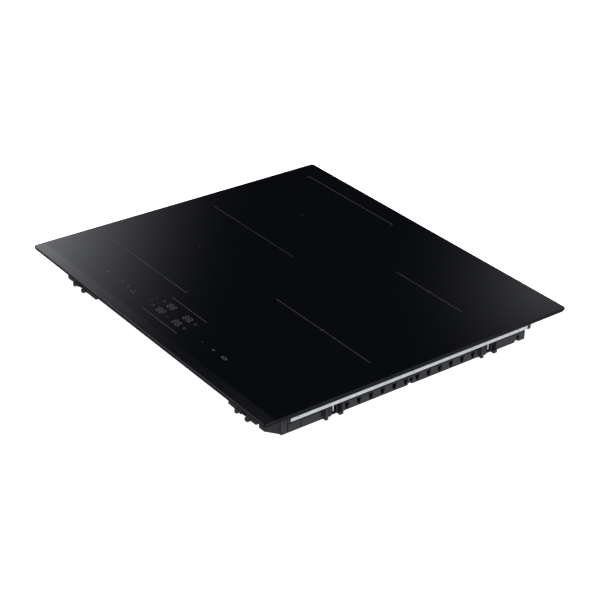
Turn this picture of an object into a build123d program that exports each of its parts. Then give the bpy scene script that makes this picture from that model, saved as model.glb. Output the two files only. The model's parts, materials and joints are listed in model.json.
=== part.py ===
from build123d import *
import math
import os

# Built-in induction hob: 60 cm class, four cooking zones, drops into a 560 x 490 mm worktop cut-out.
# Frame: X to the user's right, -Y towards the user, +Z up. Origin: centre of the footprint, at the
# underside of the plastic base case. All sizes are millimetres. A pair in brackets holds a lower and an
# upper limit.

os.makedirs("parts", exist_ok=True)

# ---------------------------------------------------------------- driving dimensions
HEIGHT = 46.0               # underside of the base case to the cooking surface
GLASS_WIDTH = 590.0
GLASS_DEPTH = 520.0
GLASS_THICK = 4.0
GLASS_CORNER = 5.0
GLASS_ARRIS = 0.5           # ground edge around the slab
BEVEL_WIDTH = 17.5          # ground facet along the front edge
BEVEL_DROP = 0.8

SEAL_THICK = 2.0            # foam strip that lies on the worktop
SEAL_WIDTH = 8.0
SEAL_INSET = 1.5
BEAD_THICK = 1.0            # silicone between glass and frame
BEAD_WIDTH = 8.0
BEAD_INSET = 2.0

CASE_HALF_X = 270.0
CASE_HALF_Y = 229.0
CORNER_X = 20.0             # corner chamfer, seen from above
CORNER_Y = 16.0
CASE_WALL = 2.0
CASE_FLOOR = 2.4
CASE_RIM = 18.0
CASE_BOTTOM_CHAMFER = 0.9
FRONT_STEP_X = 170.0        # the middle of the front wall stands further back
FRONT_STEP_Y = 225.0
NOTCH_X = (232.0, 239.0)    # narrow notch beside each corner piece
NOTCH_DEPTH = 6.0
REAR_CUT_X = 28.0           # the lower part of the rear corners is cut further back
REAR_CUT_Y = 21.2
REAR_CUT_HIGH = 15.8
PILLAR_X = 264.0            # upright that squares each front corner, flush with the side wall
PILLAR_Y = (-216.5, -204.0)
PILLAR_GROOVE_Y = (-207.5, -205.3)
PILLAR_GROOVE_DEPTH = 1.5
REAR_PILLAR_Y = (207.4, 213.0)

SEAM = 0.4                  # gap between base case and upper frame
FRAME_WALL = 2.5
FLANGE_WIDTH = 13.0
FLANGE_THICK = 2.4
LEDGE_WIDTH = 10.0
LEDGE_LOW = 28.0
LEDGE_THICK = 2.0

RAIL_Y = (-205.0, 207.0)    # ends of each metal side rail
RAIL_OUT = 275.0
RAIL_SHEET = 1.0
RAIL_LOW = 19.8
RAIL_FLANGE_IN = 258.0
RAIL_CLEARANCE = 0.3
BARB_Y = (-191.0, 0.0, 191.0)
BARB_WIDTH = 12.0
BARB_HIGH = 6.0
BARB_TIP = 1.2
BARB_SLIT = 0.8
BARB_TILT = 8.0

VENT_COUNT = 12
VENT_PITCH = 20.0
VENT_LOW = 3.0
VENT_HIGH = 12.0
VENT_TOP_WIDTH = 8.8
VENT_BOTTOM_WIDTH = 4.0
RAIL_GROOVE_Y = (-205.0, 206.0)     # long groove in each side wall, below the rail
RAIL_GROOVE_Z = (13.4, 14.7)
MOULD_GROOVE_Y = (-186.0, -184.0)
GROOVE_DEPTH = 1.2
CENTRE_NOTCH = ((-6.0, 1.5), (0.0, 4.6))        # y and z limits of the openings in each side wall
CENTRE_SLOT = ((-3.3, 2.3), (5.6, 11.0))
REAR_NOTCH = ((189.0, 197.0), (0.0, 4.6))
REAR_SLOT = ((191.5, 197.0), (5.6, 11.0))
NOTCH_IN = 266.0            # the two notches also cut the floor, as far in as this

# Snap latches. "Across" runs along the wall, "out" away from it, both from the latch's own centre.
LATCH_SIDE_Y = (-134.0, 136.5)
LATCH_FRONT_X = (-213.0, 205.0)
POST_ACROSS = (-14.7, -9.7)
POST_OUT = 4.7
POST_CHAMFER = 0.4
FIN_ACROSS = (12.7, 14.7)
FOOT_ACROSS = (8.6, 12.8)
FOOT_HIGH = 4.5
POCKET_RISE = 1.6           # the wall between post and foot stops this far above the underside
WINDOW_ACROSS = (-8.6, 6.6)
NARROW_ACROSS = (9.0, 12.6)
NARROW_HIGH = 17.0
WINDOW_LOW = 3.5
SLOT_ACROSS = (-18.0, -15.6)
SLOT_Z = (5.0, 15.0)
TONGUE_ACROSS = (-6.6, -3.4)
TONGUE_OUT = (0.6, 2.0)
TONGUE_TOP = 22.8
TONGUE_FOOT_HIGH = 4.5
TONGUE_GAP = 0.8
NOSE_OUT = 3.3
TAB_ACROSS = (-1.1, 0.5)    # strip of the rail that hangs down in front of each side window
TAB_OUT = (0.5, 1.5)
TAB_LOW = 8.0
KEEPER_OUT = 4.2
KEEPER_HALF = 6.0

ZONE_X = 150.0              # zone centres
FRONT_ZONE_Y = -58.5
REAR_ZONE_Y = 132.0
WIRE_RADIUS = 1.8
WIRE_PITCH = 4.2
SENSOR_HOLE = 9.0

COILS = {
    "front_left": {"x": -ZONE_X, "y": FRONT_ZONE_Y, "first": 24.0, "turns": 13, "straight": 36.0},
    "rear_left": {"x": -ZONE_X, "y": REAR_ZONE_Y, "first": 24.0, "turns": 13, "straight": 36.0},
    "front_right": {"x": ZONE_X, "y": FRONT_ZONE_Y, "first": 22.0, "turns": 17, "straight": 0.0},
    "rear_right": {"x": ZONE_X, "y": REAR_ZONE_Y, "first": 20.0, "turns": 11, "straight": 0.0},
}

PLATE_LOW = 27.0            # aluminium coil plates
PLATE_THICK = 1.0
PLATE_INNER_X = 4.0
PLATE_FRONT_Y = -160.0
PLATE_LIP_X = 256.0
PLATE_LIP_HIGH = 33.0
PLATE_BEAD_X = (40.0, 250.0)
PLATE_BEAD_HALF = 1.5
PLATE_BEAD_RISE = 2.2
PLATE_BEAD_Y = (FRONT_ZONE_Y - 95.0, FRONT_ZONE_Y + 95.0, REAR_ZONE_Y + 80.0)
PLATE_HOLE = 14.0
LEAD_HOLE_X = 34.0
LEAD_HOLE_LONG = 30.0
LEAD_HOLE_WIDE = 12.0
FERRITE_LOW = 31.0
FERRITE_THICK = 3.2
FERRITE_WIDTH = 11.0
CARRIER_LOW = 34.4
CARRIER_THICK = 1.6
CARRIER_EDGE = 1.4
CARRIER_WALL = 2.4
CARRIER_HUB = 12.0
CARRIER_RIB = 1.4
LEG_RADIUS = 5.0
LEG_INSET = 9.0
SPRING_REACH = 13.0
SPRING_WIDTH = 8.0
SPRING_HALF_THICK = 0.3
SPRING_GAP = 0.4
WINDING_Z = 37.8
INSULATION_LOW = 39.8
COLUMN_X = 10.0
COLUMN_Y = (-130.0, -20.0, 90.0, 200.0)

BOARD_LOW = 6.0
BOARD_THICK = 1.6
BOARD_TOP = BOARD_LOW + BOARD_THICK
BOARD_INSET = 6.0           # screw places, from the edges of a board
BOARD_POST = 3.4
POWER_X = (26.0, 246.0)     # right-hand power board, the left one is its mirror image
POWER_Y = (-150.0, 45.0)
FILTER_X = (-246.0, -130.0)
FILTER_Y = (70.0, 200.0)
SINK_X = (50.0, 110.0)
SINK_Y = (-140.0, 40.0)
SINK_LOW = 12.0
SINK_BASE = 3.0
SINK_HIGH = 24.4
SINK_FINS = 14
SINK_FIN_WIDTH = 1.6

FAN_X = 80.0
FAN_Y = 105.0
FAN_HALF = 42.0
FAN_LOW = 2.8
FAN_HIGH = 22.0
FAN_WALL = 1.6
FAN_INTAKE = 29.0
FAN_SCREW_INSET = 5.0
GRILLE_PITCH = 6.4
GRILLE_SLOT = 3.4
GRILLE_SIDE_SLOTS = 4       # on each side of the middle one
SHAFT_RADIUS = 1.5
ROTOR_RADIUS = 36.0
ROTOR_BLADES = 21
ROTOR_DISC = 1.4
ROTOR_CUP = 15.0

COVER_X = (140.0, 240.0)    # terminal compartment opening in the floor
COVER_Y = (164.5, 214.0)
COVER_GAP = 0.6
COVER_LOW = 0.4
COVER_THICK = 1.6
COVER_LIP_X = (175.0, 205.0)
HINGE_Y = 166.8
HINGE_Z = 2.2
EAR_WIDTH = 3.6
BARREL_INSET = 4.2
BARREL_RADIUS = 1.6
PIN_RADIUS = 0.9
PIN_CLEARANCE = 0.06
COMPARTMENT_TOP = 23.6
COMPARTMENT_WALL = 1.6
INLET_X = 157.0
INLET_HALF = 14.7
INLET_FLANGE = 3.0
INLET_HOLE = (14.0, 12.0)
INLET_Z = 10.0
TERMINAL_X = (158.0, 222.0)
TERMINAL_Y = (176.0, 194.0)
TERMINAL_LOW = 9.0
TERMINAL_POLES = [163.0 + index * 10.6 for index in range(6)]
TERMINAL_SCREW_Y = 185.0

SCREW_RADIUS = 1.5
PILOT_RADIUS = 1.56
HOLE_RADIUS = 1.7
HEAD_RADIUS = 2.9
HEAD_HIGH = 1.8
CASE_HEAD_HIGH = 2.0
COUNTERBORE = 3.4
BOSS_RADIUS = 4.0

UI_X = (-185.0, 165.0)
UI_Y = (-217.0, -166.0)
UI_LOW = 31.0
UI_HIGH = 36.0
UI_BOARD_LOW = 33.0
UI_BOARD_TOP = UI_BOARD_LOW + BOARD_THICK
UI_CLIPS = (-150.0, -50.0, 50.0, 130.0)
UI_CLIP_HALF = 6.0
UI_CLIP_Y = -224.0
DISPLAY_CENTRES = [(x, y) for x in (-21.0, 18.0) for y in (-210.0, -192.0)]
DISPLAY_SIZE = (28.0, 11.0)
TOUCH_X = (-163.0, -126.0, -108.0, -90.0, -55.0, 81.0, 107.0, 133.0)
TOUCH_Y = -210.0
TOUCH_RADIUS = 4.0
BUZZER_X = 60.0
BUZZER_Y = -184.0
BUZZER_RADIUS = 6.5
BUZZER_HIGH = 5.0

GLASS_LOW = HEIGHT - GLASS_THICK
FRAME_TOP = GLASS_LOW - BEAD_THICK
FRAME_LOW = CASE_RIM + SEAM


def mirrored_pair(points):
    return points + [(-x, y) for x, y in points]


def inner_corners(x, y, inset):
    """Four screw places inside a rectangle."""
    return [(px, py) for px in (x[0] + inset, x[1] - inset) for py in (y[0] + inset, y[1] - inset)]


FAN_BOX_X = (FAN_X - FAN_HALF, FAN_X + FAN_HALF)
FAN_BOX_Y = (FAN_Y - FAN_HALF, FAN_Y + FAN_HALF)
SIDE_SCREWS = [(sx * 261.0, y) for sx in (-1, 1) for y in (-178.0, 0.0, 178.0)]
END_SCREWS = [(x, -213.5) for x in (-110.0, 110.0)] + [(x, 220.5) for x in (-100.0, 100.0)]
CASE_SCREWS = SIDE_SCREWS + END_SCREWS
COLUMNS = mirrored_pair([(COLUMN_X, y) for y in COLUMN_Y])
POWER_HOLES = inner_corners(POWER_X, POWER_Y, BOARD_INSET)
FILTER_HOLES = inner_corners(FILTER_X, FILTER_Y, BOARD_INSET)
BOARD_SCREWS = mirrored_pair(POWER_HOLES) + FILTER_HOLES
FAN_HOLES = inner_corners(FAN_BOX_X, FAN_BOX_Y, FAN_SCREW_INSET)
FAN_SCREWS = mirrored_pair(FAN_HOLES)
PLATE_EDGE_SCREWS = mirrored_pair([(263.5, y) for y in (-120.0, 60.0, 200.0)])
END_LATCHES = [(x, -CASE_HALF_Y) for x in LATCH_FRONT_X] + [(-x, CASE_HALF_Y) for x in LATCH_FRONT_X]
LATCHES = [(sx * CASE_HALF_X, y) for sx in (-1, 1) for y in LATCH_SIDE_Y] + END_LATCHES


# ---------------------------------------------------------------- helpers
def block(x, y, z):
    """Box between the given pairs of limits."""
    size = Box(x[1] - x[0], y[1] - y[0], z[1] - z[0])
    return Pos((x[0] + x[1]) / 2, (y[0] + y[1]) / 2, (z[0] + z[1]) / 2) * size


def post(x, y, radius, low, high):
    """Upright cylinder."""
    return Pos(x, y, (low + high) / 2) * Cylinder(radius, high - low)


def prism(points, low, high):
    """Upright prism on a closed outline."""
    return extrude(Pos(0, 0, low) * make_face(Polyline(points, close=True)), high - low)


def mirrored_x(shape, side):
    """The shape itself on the right, its mirror image on the left."""
    return shape if side == "right" else mirror(shape, Plane.YZ)


def both_sides(shape):
    """A right-hand shape together with its mirror image on the left."""
    return shape + mirror(shape, Plane.YZ)


def stadium(radius, straight):
    """Flat outline of a round coil, or of an oval one where straight is above zero."""
    face = Pos(straight / 2, 0) * Circle(radius)
    if straight > 0:
        face = face + Pos(-straight / 2, 0) * Circle(radius)
        face = face + Rectangle(straight, 2 * radius)
    return face


def inset_cut(cut_x, cut_y, inset):
    """Legs of a corner chamfer after the outline around it has moved inwards."""
    loss = inset * (cut_x + cut_y - math.hypot(cut_x, cut_y))
    return cut_x - loss / cut_y, cut_y - loss / cut_x


def corner_outline(inset):
    """Rectangle with chamfered corners, moved inwards by inset."""
    half_x = CASE_HALF_X - inset
    half_y = CASE_HALF_Y - inset
    cut_x, cut_y = inset_cut(CORNER_X, CORNER_Y, inset)
    points = []
    for sx, sy in ((1, -1), (1, 1), (-1, 1), (-1, -1)):
        near = (sx * (half_x - cut_x), sy * half_y)
        far = (sx * half_x, sy * (half_y - cut_y))
        points += [near, far] if sx * sy < 0 else [far, near]
    return points


def write(node, shape):
    export_step(shape, f"parts/{node}.step")


# ---------------------------------------------------------------- glass and sealing
def glass_top():
    """Glass-ceramic slab with a ground facet along the front and a ground arris all round."""
    plan = RectangleRounded(GLASS_WIDTH, GLASS_DEPTH, GLASS_CORNER)
    slab = extrude(Pos(0, 0, GLASS_LOW) * plan, GLASS_THICK)
    rim = slab.faces().sort_by(Axis.Z)[-1].edges() + slab.faces().sort_by(Axis.Z)[0].edges()
    slab = chamfer(rim, GLASS_ARRIS)
    front = -GLASS_DEPTH / 2
    slope = BEVEL_DROP / BEVEL_WIDTH
    wedge = Polyline(
        (0, front - BEVEL_WIDTH, HEIGHT - 2 * BEVEL_DROP),
        (0, front + BEVEL_WIDTH, HEIGHT),
        (0, front + BEVEL_WIDTH, HEIGHT + BEVEL_WIDTH * slope),
        (0, front - BEVEL_WIDTH, HEIGHT + BEVEL_WIDTH * slope),
        close=True,
    )
    return slab - extrude(make_face(wedge), GLASS_WIDTH, both=True)


def worktop_seal():
    outer = RectangleRounded(GLASS_WIDTH - 2 * SEAL_INSET, GLASS_DEPTH - 2 * SEAL_INSET, GLASS_CORNER)
    inset = SEAL_INSET + SEAL_WIDTH
    inner = RectangleRounded(GLASS_WIDTH - 2 * inset, GLASS_DEPTH - 2 * inset, GLASS_CORNER / 2)
    return extrude(Pos(0, 0, GLASS_LOW - SEAL_THICK) * (outer - inner), SEAL_THICK)


def glass_bead():
    """Silicone bead that bonds the glass to the frame and to the side rails."""
    outer = prism(corner_outline(BEAD_INSET), FRAME_TOP, GLASS_LOW)
    return outer - prism(corner_outline(BEAD_INSET + BEAD_WIDTH), FRAME_TOP, GLASS_LOW)


# ---------------------------------------------------------------- upper frame and rails
def frame_bosses():
    """Solid pads over the case screws, joined to the frame's walls."""
    half = BOSS_RADIUS + 0.5
    z = (FRAME_LOW, PLATE_LOW - SEAM)
    pads = None
    for x, y in SIDE_SCREWS:
        reach = sorted((math.copysign(abs(x) - half, x), math.copysign(CASE_HALF_X - 1, x)))
        pad = block(reach, (y - half, y + half), z)
        pads = pad if pads is None else pads + pad
    for x, y in END_SCREWS:
        reach = sorted((math.copysign(abs(y) - half, y), math.copysign(CASE_HALF_Y - 1, y)))
        pads += block((x - half, x + half), reach, z)
    return pads


def top_frame():
    """Moulded ring that carries the glass, the side rails and the coil plates."""
    outer = corner_outline(0)
    ring = prism(outer, FRAME_LOW, FRAME_TOP) - prism(corner_outline(FRAME_WALL), FRAME_LOW, FRAME_TOP)
    flange = prism(outer, FRAME_TOP - FLANGE_THICK, FRAME_TOP)
    flange -= prism(corner_outline(FLANGE_WIDTH), FRAME_TOP - FLANGE_THICK, FRAME_TOP)
    ledge = prism(outer, LEDGE_LOW, LEDGE_LOW + LEDGE_THICK)
    ledge -= prism(corner_outline(LEDGE_WIDTH), LEDGE_LOW, LEDGE_LOW + LEDGE_THICK)
    body = ring + flange + ledge + frame_bosses()
    for x, y in CASE_SCREWS:
        body -= post(x, y, PILOT_RADIUS, FRAME_LOW, PLATE_LOW - SEAM - 1)
    pillars = block((PILLAR_X, CASE_HALF_X), PILLAR_Y, (FRAME_LOW, FRAME_TOP))
    pillars -= pillar_groove()
    pillars += block((CASE_HALF_X - 1, RAIL_OUT), REAR_PILLAR_Y, (FRAME_LOW, FRAME_TOP))
    recess_y = (RAIL_Y[0] - SEAM, RAIL_Y[1] + SEAM)
    recess = block((RAIL_FLANGE_IN - SEAM, CASE_HALF_X + 1), recess_y, (FRAME_TOP - RAIL_SHEET, FRAME_TOP))
    body = body - both_sides(pillar_groove()) + both_sides(pillars) - both_sides(recess)
    for x, y in END_LATCHES:
        body += on_wall(latch_keeper(), x, y)
    for x, y in PLATE_EDGE_SCREWS:
        body -= post(x, y, PILOT_RADIUS, LEDGE_LOW, LEDGE_LOW + LEDGE_THICK)
    return body


def side_rail(side):
    """Galvanised rail with three punched spring barbs that grip the sides of the worktop cut-out."""
    web_in = RAIL_OUT - RAIL_SHEET
    low = (RAIL_LOW, RAIL_LOW + RAIL_SHEET)
    rail = block((web_in, RAIL_OUT), RAIL_Y, (RAIL_LOW, FRAME_TOP))
    rail += block((RAIL_FLANGE_IN, RAIL_OUT), RAIL_Y, (FRAME_TOP - RAIL_SHEET, FRAME_TOP))
    rail += block((CASE_HALF_X + RAIL_CLEARANCE, RAIL_OUT), RAIL_Y, low)
    for y in LATCH_SIDE_Y:
        rail -= Pos(CASE_HALF_X, y, 0) * tongue_slot()
        tab_x = (CASE_HALF_X + TAB_OUT[0], CASE_HALF_X + TAB_OUT[1])
        rail += block(tab_x, (y + TAB_ACROSS[0], y + TAB_ACROSS[1]), (TAB_LOW, low[1]))
    hinge_z = low[1] + BARB_HIGH + BARB_TIP
    half = BARB_WIDTH / 2
    tip = BARB_TIP / 2
    for y in BARB_Y:
        wide = [
            (web_in - 1, y - half - BARB_SLIT, hinge_z),
            (web_in - 1, y + half + BARB_SLIT, hinge_z),
            (web_in - 1, y, hinge_z - BARB_HIGH - BARB_SLIT),
        ]
        rail -= extrude(make_face(Polyline(wide, close=True)), 3 * RAIL_SHEET, dir=(1, 0, 0))
        narrow = [
            (-RAIL_SHEET / 2, y - half, 0.4),
            (-RAIL_SHEET / 2, y + half, 0.4),
            (-RAIL_SHEET / 2, y + tip, -BARB_HIGH),
            (-RAIL_SHEET / 2, y - tip, -BARB_HIGH),
        ]
        barb = extrude(make_face(Polyline(narrow, close=True)), RAIL_SHEET, dir=(1, 0, 0))
        rail += Location((RAIL_OUT - RAIL_SHEET / 2, 0, hinge_z), (0, -BARB_TILT, 0)) * barb
    return mirrored_x(rail, side)


# ---------------------------------------------------------------- snap latches
def on_wall(shape, x, y):
    """Turn a latch piece from its local frame, +X outwards and +Y along the wall, onto the wall at x, y."""
    if x == CASE_HALF_X:
        return Pos(x, y, 0) * shape
    if x == -CASE_HALF_X:
        return mirror(Pos(-x, y, 0) * shape, Plane.YZ)
    return Location((x, y, 0), (0, 0, 90 if y > 0 else -90)) * shape


def latch_posts():
    """Tall post, and at the other end a thin fin on a low foot."""
    tall = block((-0.5, POST_OUT), POST_ACROSS, (0, CASE_RIM))
    tall = chamfer(tall.edges().filter_by(Axis.Z).sort_by(Axis.X)[-2:], POST_CHAMFER)
    fin = block((-0.5, POST_OUT), FIN_ACROSS, (0, CASE_RIM))
    return tall + fin + block((-0.5, POST_OUT), FOOT_ACROSS, (0, FOOT_HIGH))


def latch_openings():
    """Pocket in the bottom edge, two windows through the wall and a slot beside the tall post."""
    through = (-CASE_WALL - 0.5, 1)
    pocket = block((-3 * CASE_WALL, POST_OUT), (POST_ACROSS[1], FOOT_ACROSS[0]), (-1, POCKET_RISE))
    wide = block(through, WINDOW_ACROSS, (WINDOW_LOW, CASE_RIM + 1))
    narrow = block(through, NARROW_ACROSS, (WINDOW_LOW, NARROW_HIGH))
    return pocket + wide + narrow + block(through, SLOT_ACROSS, SLOT_Z)


def latch_tongue():
    """Springy tongue that stands in the window and hooks over the rail's flange or over a keeper."""
    foot = block((-CASE_WALL, TONGUE_OUT[1]), TONGUE_ACROSS, (POCKET_RISE, TONGUE_FOOT_HIGH))
    tongue = block(TONGUE_OUT, TONGUE_ACROSS, (POCKET_RISE, TONGUE_TOP))
    nose_low = RAIL_LOW + RAIL_SHEET + RAIL_CLEARANCE
    profile = [(TONGUE_OUT[1], nose_low), (NOSE_OUT, nose_low), (TONGUE_OUT[1], TONGUE_TOP)]
    nose = make_face(Polyline([(x, TONGUE_ACROSS[0], z) for x, z in profile], close=True))
    return foot + tongue + extrude(nose, TONGUE_ACROSS[1] - TONGUE_ACROSS[0], dir=(0, 1, 0))


def tongue_slot():
    """Cut that lets the tongue through the rail's flange or through a keeper."""
    across = (TONGUE_ACROSS[0] - TONGUE_GAP, TONGUE_ACROSS[1] + TONGUE_GAP)
    return block((0, TONGUE_OUT[1] + TONGUE_GAP), across, (RAIL_LOW - 1, RAIL_LOW + RAIL_SHEET))


def latch_keeper():
    """Short shelf on the frame's front and rear walls, slotted for the tongue."""
    middle = sum(TONGUE_ACROSS) / 2
    across = (middle - KEEPER_HALF, middle + KEEPER_HALF)
    shelf = block((-0.5, KEEPER_OUT), across, (RAIL_LOW, RAIL_LOW + RAIL_SHEET))
    return shelf - tongue_slot()


def pillar_groove():
    """Upright groove between a front corner pillar and the side wall."""
    return block((CASE_HALF_X - PILLAR_GROOVE_DEPTH, CASE_HALF_X + 1), PILLAR_GROOVE_Y, (-1, HEIGHT))


# ---------------------------------------------------------------- base case
def case_outline(inset, rear_cut):
    """Plan of the base case: stepped front wall, notches, and rear corners cut by the given chamfer."""
    half_x = CASE_HALF_X - inset
    front = -CASE_HALF_Y + inset
    step = -FRONT_STEP_Y + inset
    front_x, front_y = inset_cut(CORNER_X, CORNER_Y, inset)
    rear_x, rear_y = inset_cut(*rear_cut, inset)
    right = [
        (FRONT_STEP_X + inset, step),
        (FRONT_STEP_X + inset, front),
        (NOTCH_X[0] - inset, front),
        (NOTCH_X[0] - inset, front + NOTCH_DEPTH),
        (NOTCH_X[1] + inset, front + NOTCH_DEPTH),
        (NOTCH_X[1] + inset, front),
        (half_x - front_x, front),
        (half_x, front + front_y),
        (half_x, CASE_HALF_Y - inset - rear_y),
        (half_x - rear_x, CASE_HALF_Y - inset),
    ]
    return right + [(-x, y) for x, y in reversed(right)]


def vent_slots():
    """Wedge-shaped air slots through each side wall, wide at the top."""
    first = -VENT_PITCH * (VENT_COUNT - 1) / 2
    inside = CASE_HALF_X - 2 * CASE_WALL
    slots = None
    for index in range(VENT_COUNT):
        y = first + index * VENT_PITCH
        points = [
            (inside, y - VENT_TOP_WIDTH / 2, VENT_HIGH),
            (inside, y + VENT_TOP_WIDTH / 2, VENT_HIGH),
            (inside, y + VENT_BOTTOM_WIDTH / 2, VENT_LOW),
            (inside, y - VENT_BOTTOM_WIDTH / 2, VENT_LOW),
        ]
        slot = extrude(make_face(Polyline(points, close=True)), 4 * CASE_WALL, dir=(1, 0, 0))
        slots = slot if slots is None else slots + slot
    return slots


def side_openings():
    """Notches in the bottom edge of a side wall and the slots above them."""
    through = (CASE_HALF_X - CASE_WALL - 1, CASE_HALF_X + 1)
    openings = vent_slots()
    for y, z in (CENTRE_SLOT, REAR_SLOT):
        openings += block(through, y, z)
    for y, z in (CENTRE_NOTCH, REAR_NOTCH):
        openings += block((NOTCH_IN, CASE_HALF_X + 1), y, z)
    return openings


def side_grooves():
    """Long groove below the rail, and an upright one near the front."""
    depth = (CASE_HALF_X - GROOVE_DEPTH, CASE_HALF_X + 1)
    return block(depth, RAIL_GROOVE_Y, RAIL_GROOVE_Z) + block(depth, MOULD_GROOVE_Y, (-1, CASE_RIM + 1))


def case_shell():
    """Hollow tray: chamfered bottom edge, rear corners cut back below the rim band."""
    lower = case_outline(0, (REAR_CUT_X, REAR_CUT_Y))
    body = prism(lower, 0, REAR_CUT_HIGH)
    body = chamfer(body.faces().sort_by(Axis.Z)[0].edges(), CASE_BOTTOM_CHAMFER)
    body += prism(case_outline(0, (CORNER_X, CORNER_Y)), REAR_CUT_HIGH, CASE_RIM)
    body -= prism(case_outline(CASE_WALL, (REAR_CUT_X, REAR_CUT_Y)), CASE_FLOOR, CASE_RIM)
    pillar = block((PILLAR_X, CASE_HALF_X), PILLAR_Y, (CASE_BOTTOM_CHAMFER, CASE_RIM))
    return body + both_sides(pillar)


def fan_grille(x, y):
    """Parallel intake slots inside a circle, under one fan."""
    slots = None
    for index in range(-GRILLE_SIDE_SLOTS, GRILLE_SIDE_SLOTS + 1):
        offset = index * GRILLE_PITCH
        half = math.sqrt(FAN_INTAKE ** 2 - offset ** 2)
        slot = Pos(x + offset, y) * extrude(Rectangle(GRILLE_SLOT, 2 * half), 2 * CASE_FLOOR, both=True)
        slots = slot if slots is None else slots + slot
    return slots


def floor_panels():
    """Shallow moulded recesses in the underside, which leave a grid of stiffening ribs."""
    columns = (-259.0, -176.0, -88.0, 0.0, 88.0, 176.0, 259.0)
    rows = (-213.0, -130.0, -44.0, 42.0, 150.0, 216.0)
    rib = 4.0
    depth = 0.7
    panels = None
    for x0, x1 in zip(columns, columns[1:]):
        for y0, y1 in zip(rows, rows[1:]):
            over_cover = x1 > COVER_X[0] - rib and y1 > COVER_Y[0]
            if over_cover:
                continue
            plate = RectangleRounded(x1 - x0 - 2 * rib, y1 - y0 - 2 * rib, 7)
            panel = extrude(Pos((x0 + x1) / 2, (y0 + y1) / 2, 0) * plate, depth)
            panels = panel if panels is None else panels + panel
    return panels


def terminal_compartment():
    """Walls and ceiling that keep the mains terminals apart from the electronics."""
    wall = COMPARTMENT_WALL
    outer_x = (COVER_X[0] - wall, COVER_X[1] + wall)
    outer_y = (COVER_Y[0] - wall, CASE_HALF_Y - 3)
    shell = block(outer_x, outer_y, (CASE_FLOOR / 2, COMPARTMENT_TOP))
    inner_y = (COVER_Y[0], outer_y[1] - wall)
    return shell - block(COVER_X, inner_y, (0, COMPARTMENT_TOP - wall))


def hinge_ears():
    """Two ears that hold the cover's hinge pins."""
    ears = None
    for limits in ((COVER_X[0] - 1, COVER_X[0] + EAR_WIDTH), (COVER_X[1] - EAR_WIDTH, COVER_X[1] + 1)):
        ear = block(limits, (COVER_Y[0] - 0.5, HINGE_Y + 2.2), (COVER_LOW, HINGE_Z + 2.4))
        ears = ear if ears is None else ears + ear
    bore = Cylinder(PIN_RADIUS + PIN_CLEARANCE, GLASS_WIDTH)
    return ears - Location((0, HINGE_Y, HINGE_Z), (0, 90, 0)) * bore


def base_case():
    """Plastic tray with vented side walls, snap latches, board posts and the mains compartment."""
    tray = case_shell()
    tray -= both_sides(side_openings() + side_grooves() + pillar_groove())
    for x, y in LATCHES:
        tray -= on_wall(latch_openings(), x, y)
        tray += on_wall(latch_posts(), x, y)
        tray += on_wall(latch_tongue(), x, y)
    tray -= floor_panels()
    for side in (-1, 1):
        tray -= fan_grille(side * FAN_X, FAN_Y)
    for x, y in CASE_SCREWS:
        tray += post(x, y, BOSS_RADIUS, CASE_FLOOR / 2, CASE_RIM)
        tray -= post(x, y, SCREW_RADIUS + 0.3, 0, CASE_RIM)
        tray -= post(x, y, COUNTERBORE, 0, CASE_FLOOR)
    for x, y in COLUMNS:
        tray += post(x, y, BOSS_RADIUS, CASE_FLOOR / 2, PLATE_LOW)
        tray -= post(x, y, PILOT_RADIUS, PLATE_LOW - 12, PLATE_LOW)
    for x, y in BOARD_SCREWS:
        tray += post(x, y, BOARD_POST, CASE_FLOOR / 2, BOARD_LOW)
        tray -= post(x, y, PILOT_RADIUS, CASE_FLOOR, BOARD_LOW)
    tray -= block(COVER_X, COVER_Y, (-1, CASE_FLOOR + 1))
    tray += terminal_compartment() + hinge_ears()
    lip_y = (COVER_Y[1] - 2.5, COVER_Y[1] + 1)
    tray += block(COVER_LIP_X, lip_y, (CASE_FLOOR, CASE_FLOOR + COVER_THICK))
    gap = (INLET_X - INLET_HALF - 0.3, INLET_X + INLET_HALF + 0.3)
    return tray - block(gap, (CASE_HALF_Y - 6, CASE_HALF_Y + 1), (CASE_FLOOR, CASE_RIM))


def cable_inlet():
    """Flanged insert in the rear wall with an opening for a mains cable."""
    half = INLET_HALF
    wide = INLET_HALF + INLET_FLANGE
    top = CASE_RIM - 0.2
    body = block((INLET_X - half, INLET_X + half), (CASE_HALF_Y - 5.8, CASE_HALF_Y + 3), (CASE_FLOOR, top))
    body += block((INLET_X - wide, INLET_X + wide), (CASE_HALF_Y, CASE_HALF_Y + 2), (0.8, top))
    opening = Plane(origin=(INLET_X, CASE_HALF_Y, INLET_Z), x_dir=(1, 0, 0), z_dir=(0, 1, 0))
    return body - extrude(opening * RectangleRounded(*INLET_HOLE, 3), 12, both=True)


def terminal_block():
    """Six-pole block hung from the compartment's ceiling, facing the cover."""
    body = block(TERMINAL_X, TERMINAL_Y, (TERMINAL_LOW, COMPARTMENT_TOP - COMPARTMENT_WALL))
    for x in TERMINAL_POLES:
        body -= post(x, TERMINAL_SCREW_Y, 2.6, TERMINAL_LOW - 1, TERMINAL_LOW + 5)
        body -= Location((x, TERMINAL_Y[0], TERMINAL_LOW + 6.5), (90, 0, 0)) * Cylinder(2.2, 20)
    return body


def terminal_screws():
    """Brass clamp screws of the terminal block."""
    screws = []
    for x in TERMINAL_POLES:
        head = post(x, TERMINAL_SCREW_Y, 2.4, 10.5, 13.8)
        drive_y = (TERMINAL_SCREW_Y - 3, TERMINAL_SCREW_Y + 3)
        screws.append(head - block((x - 0.4, x + 0.4), drive_y, (10, 11.6)))
    return Compound(screws)


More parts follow.
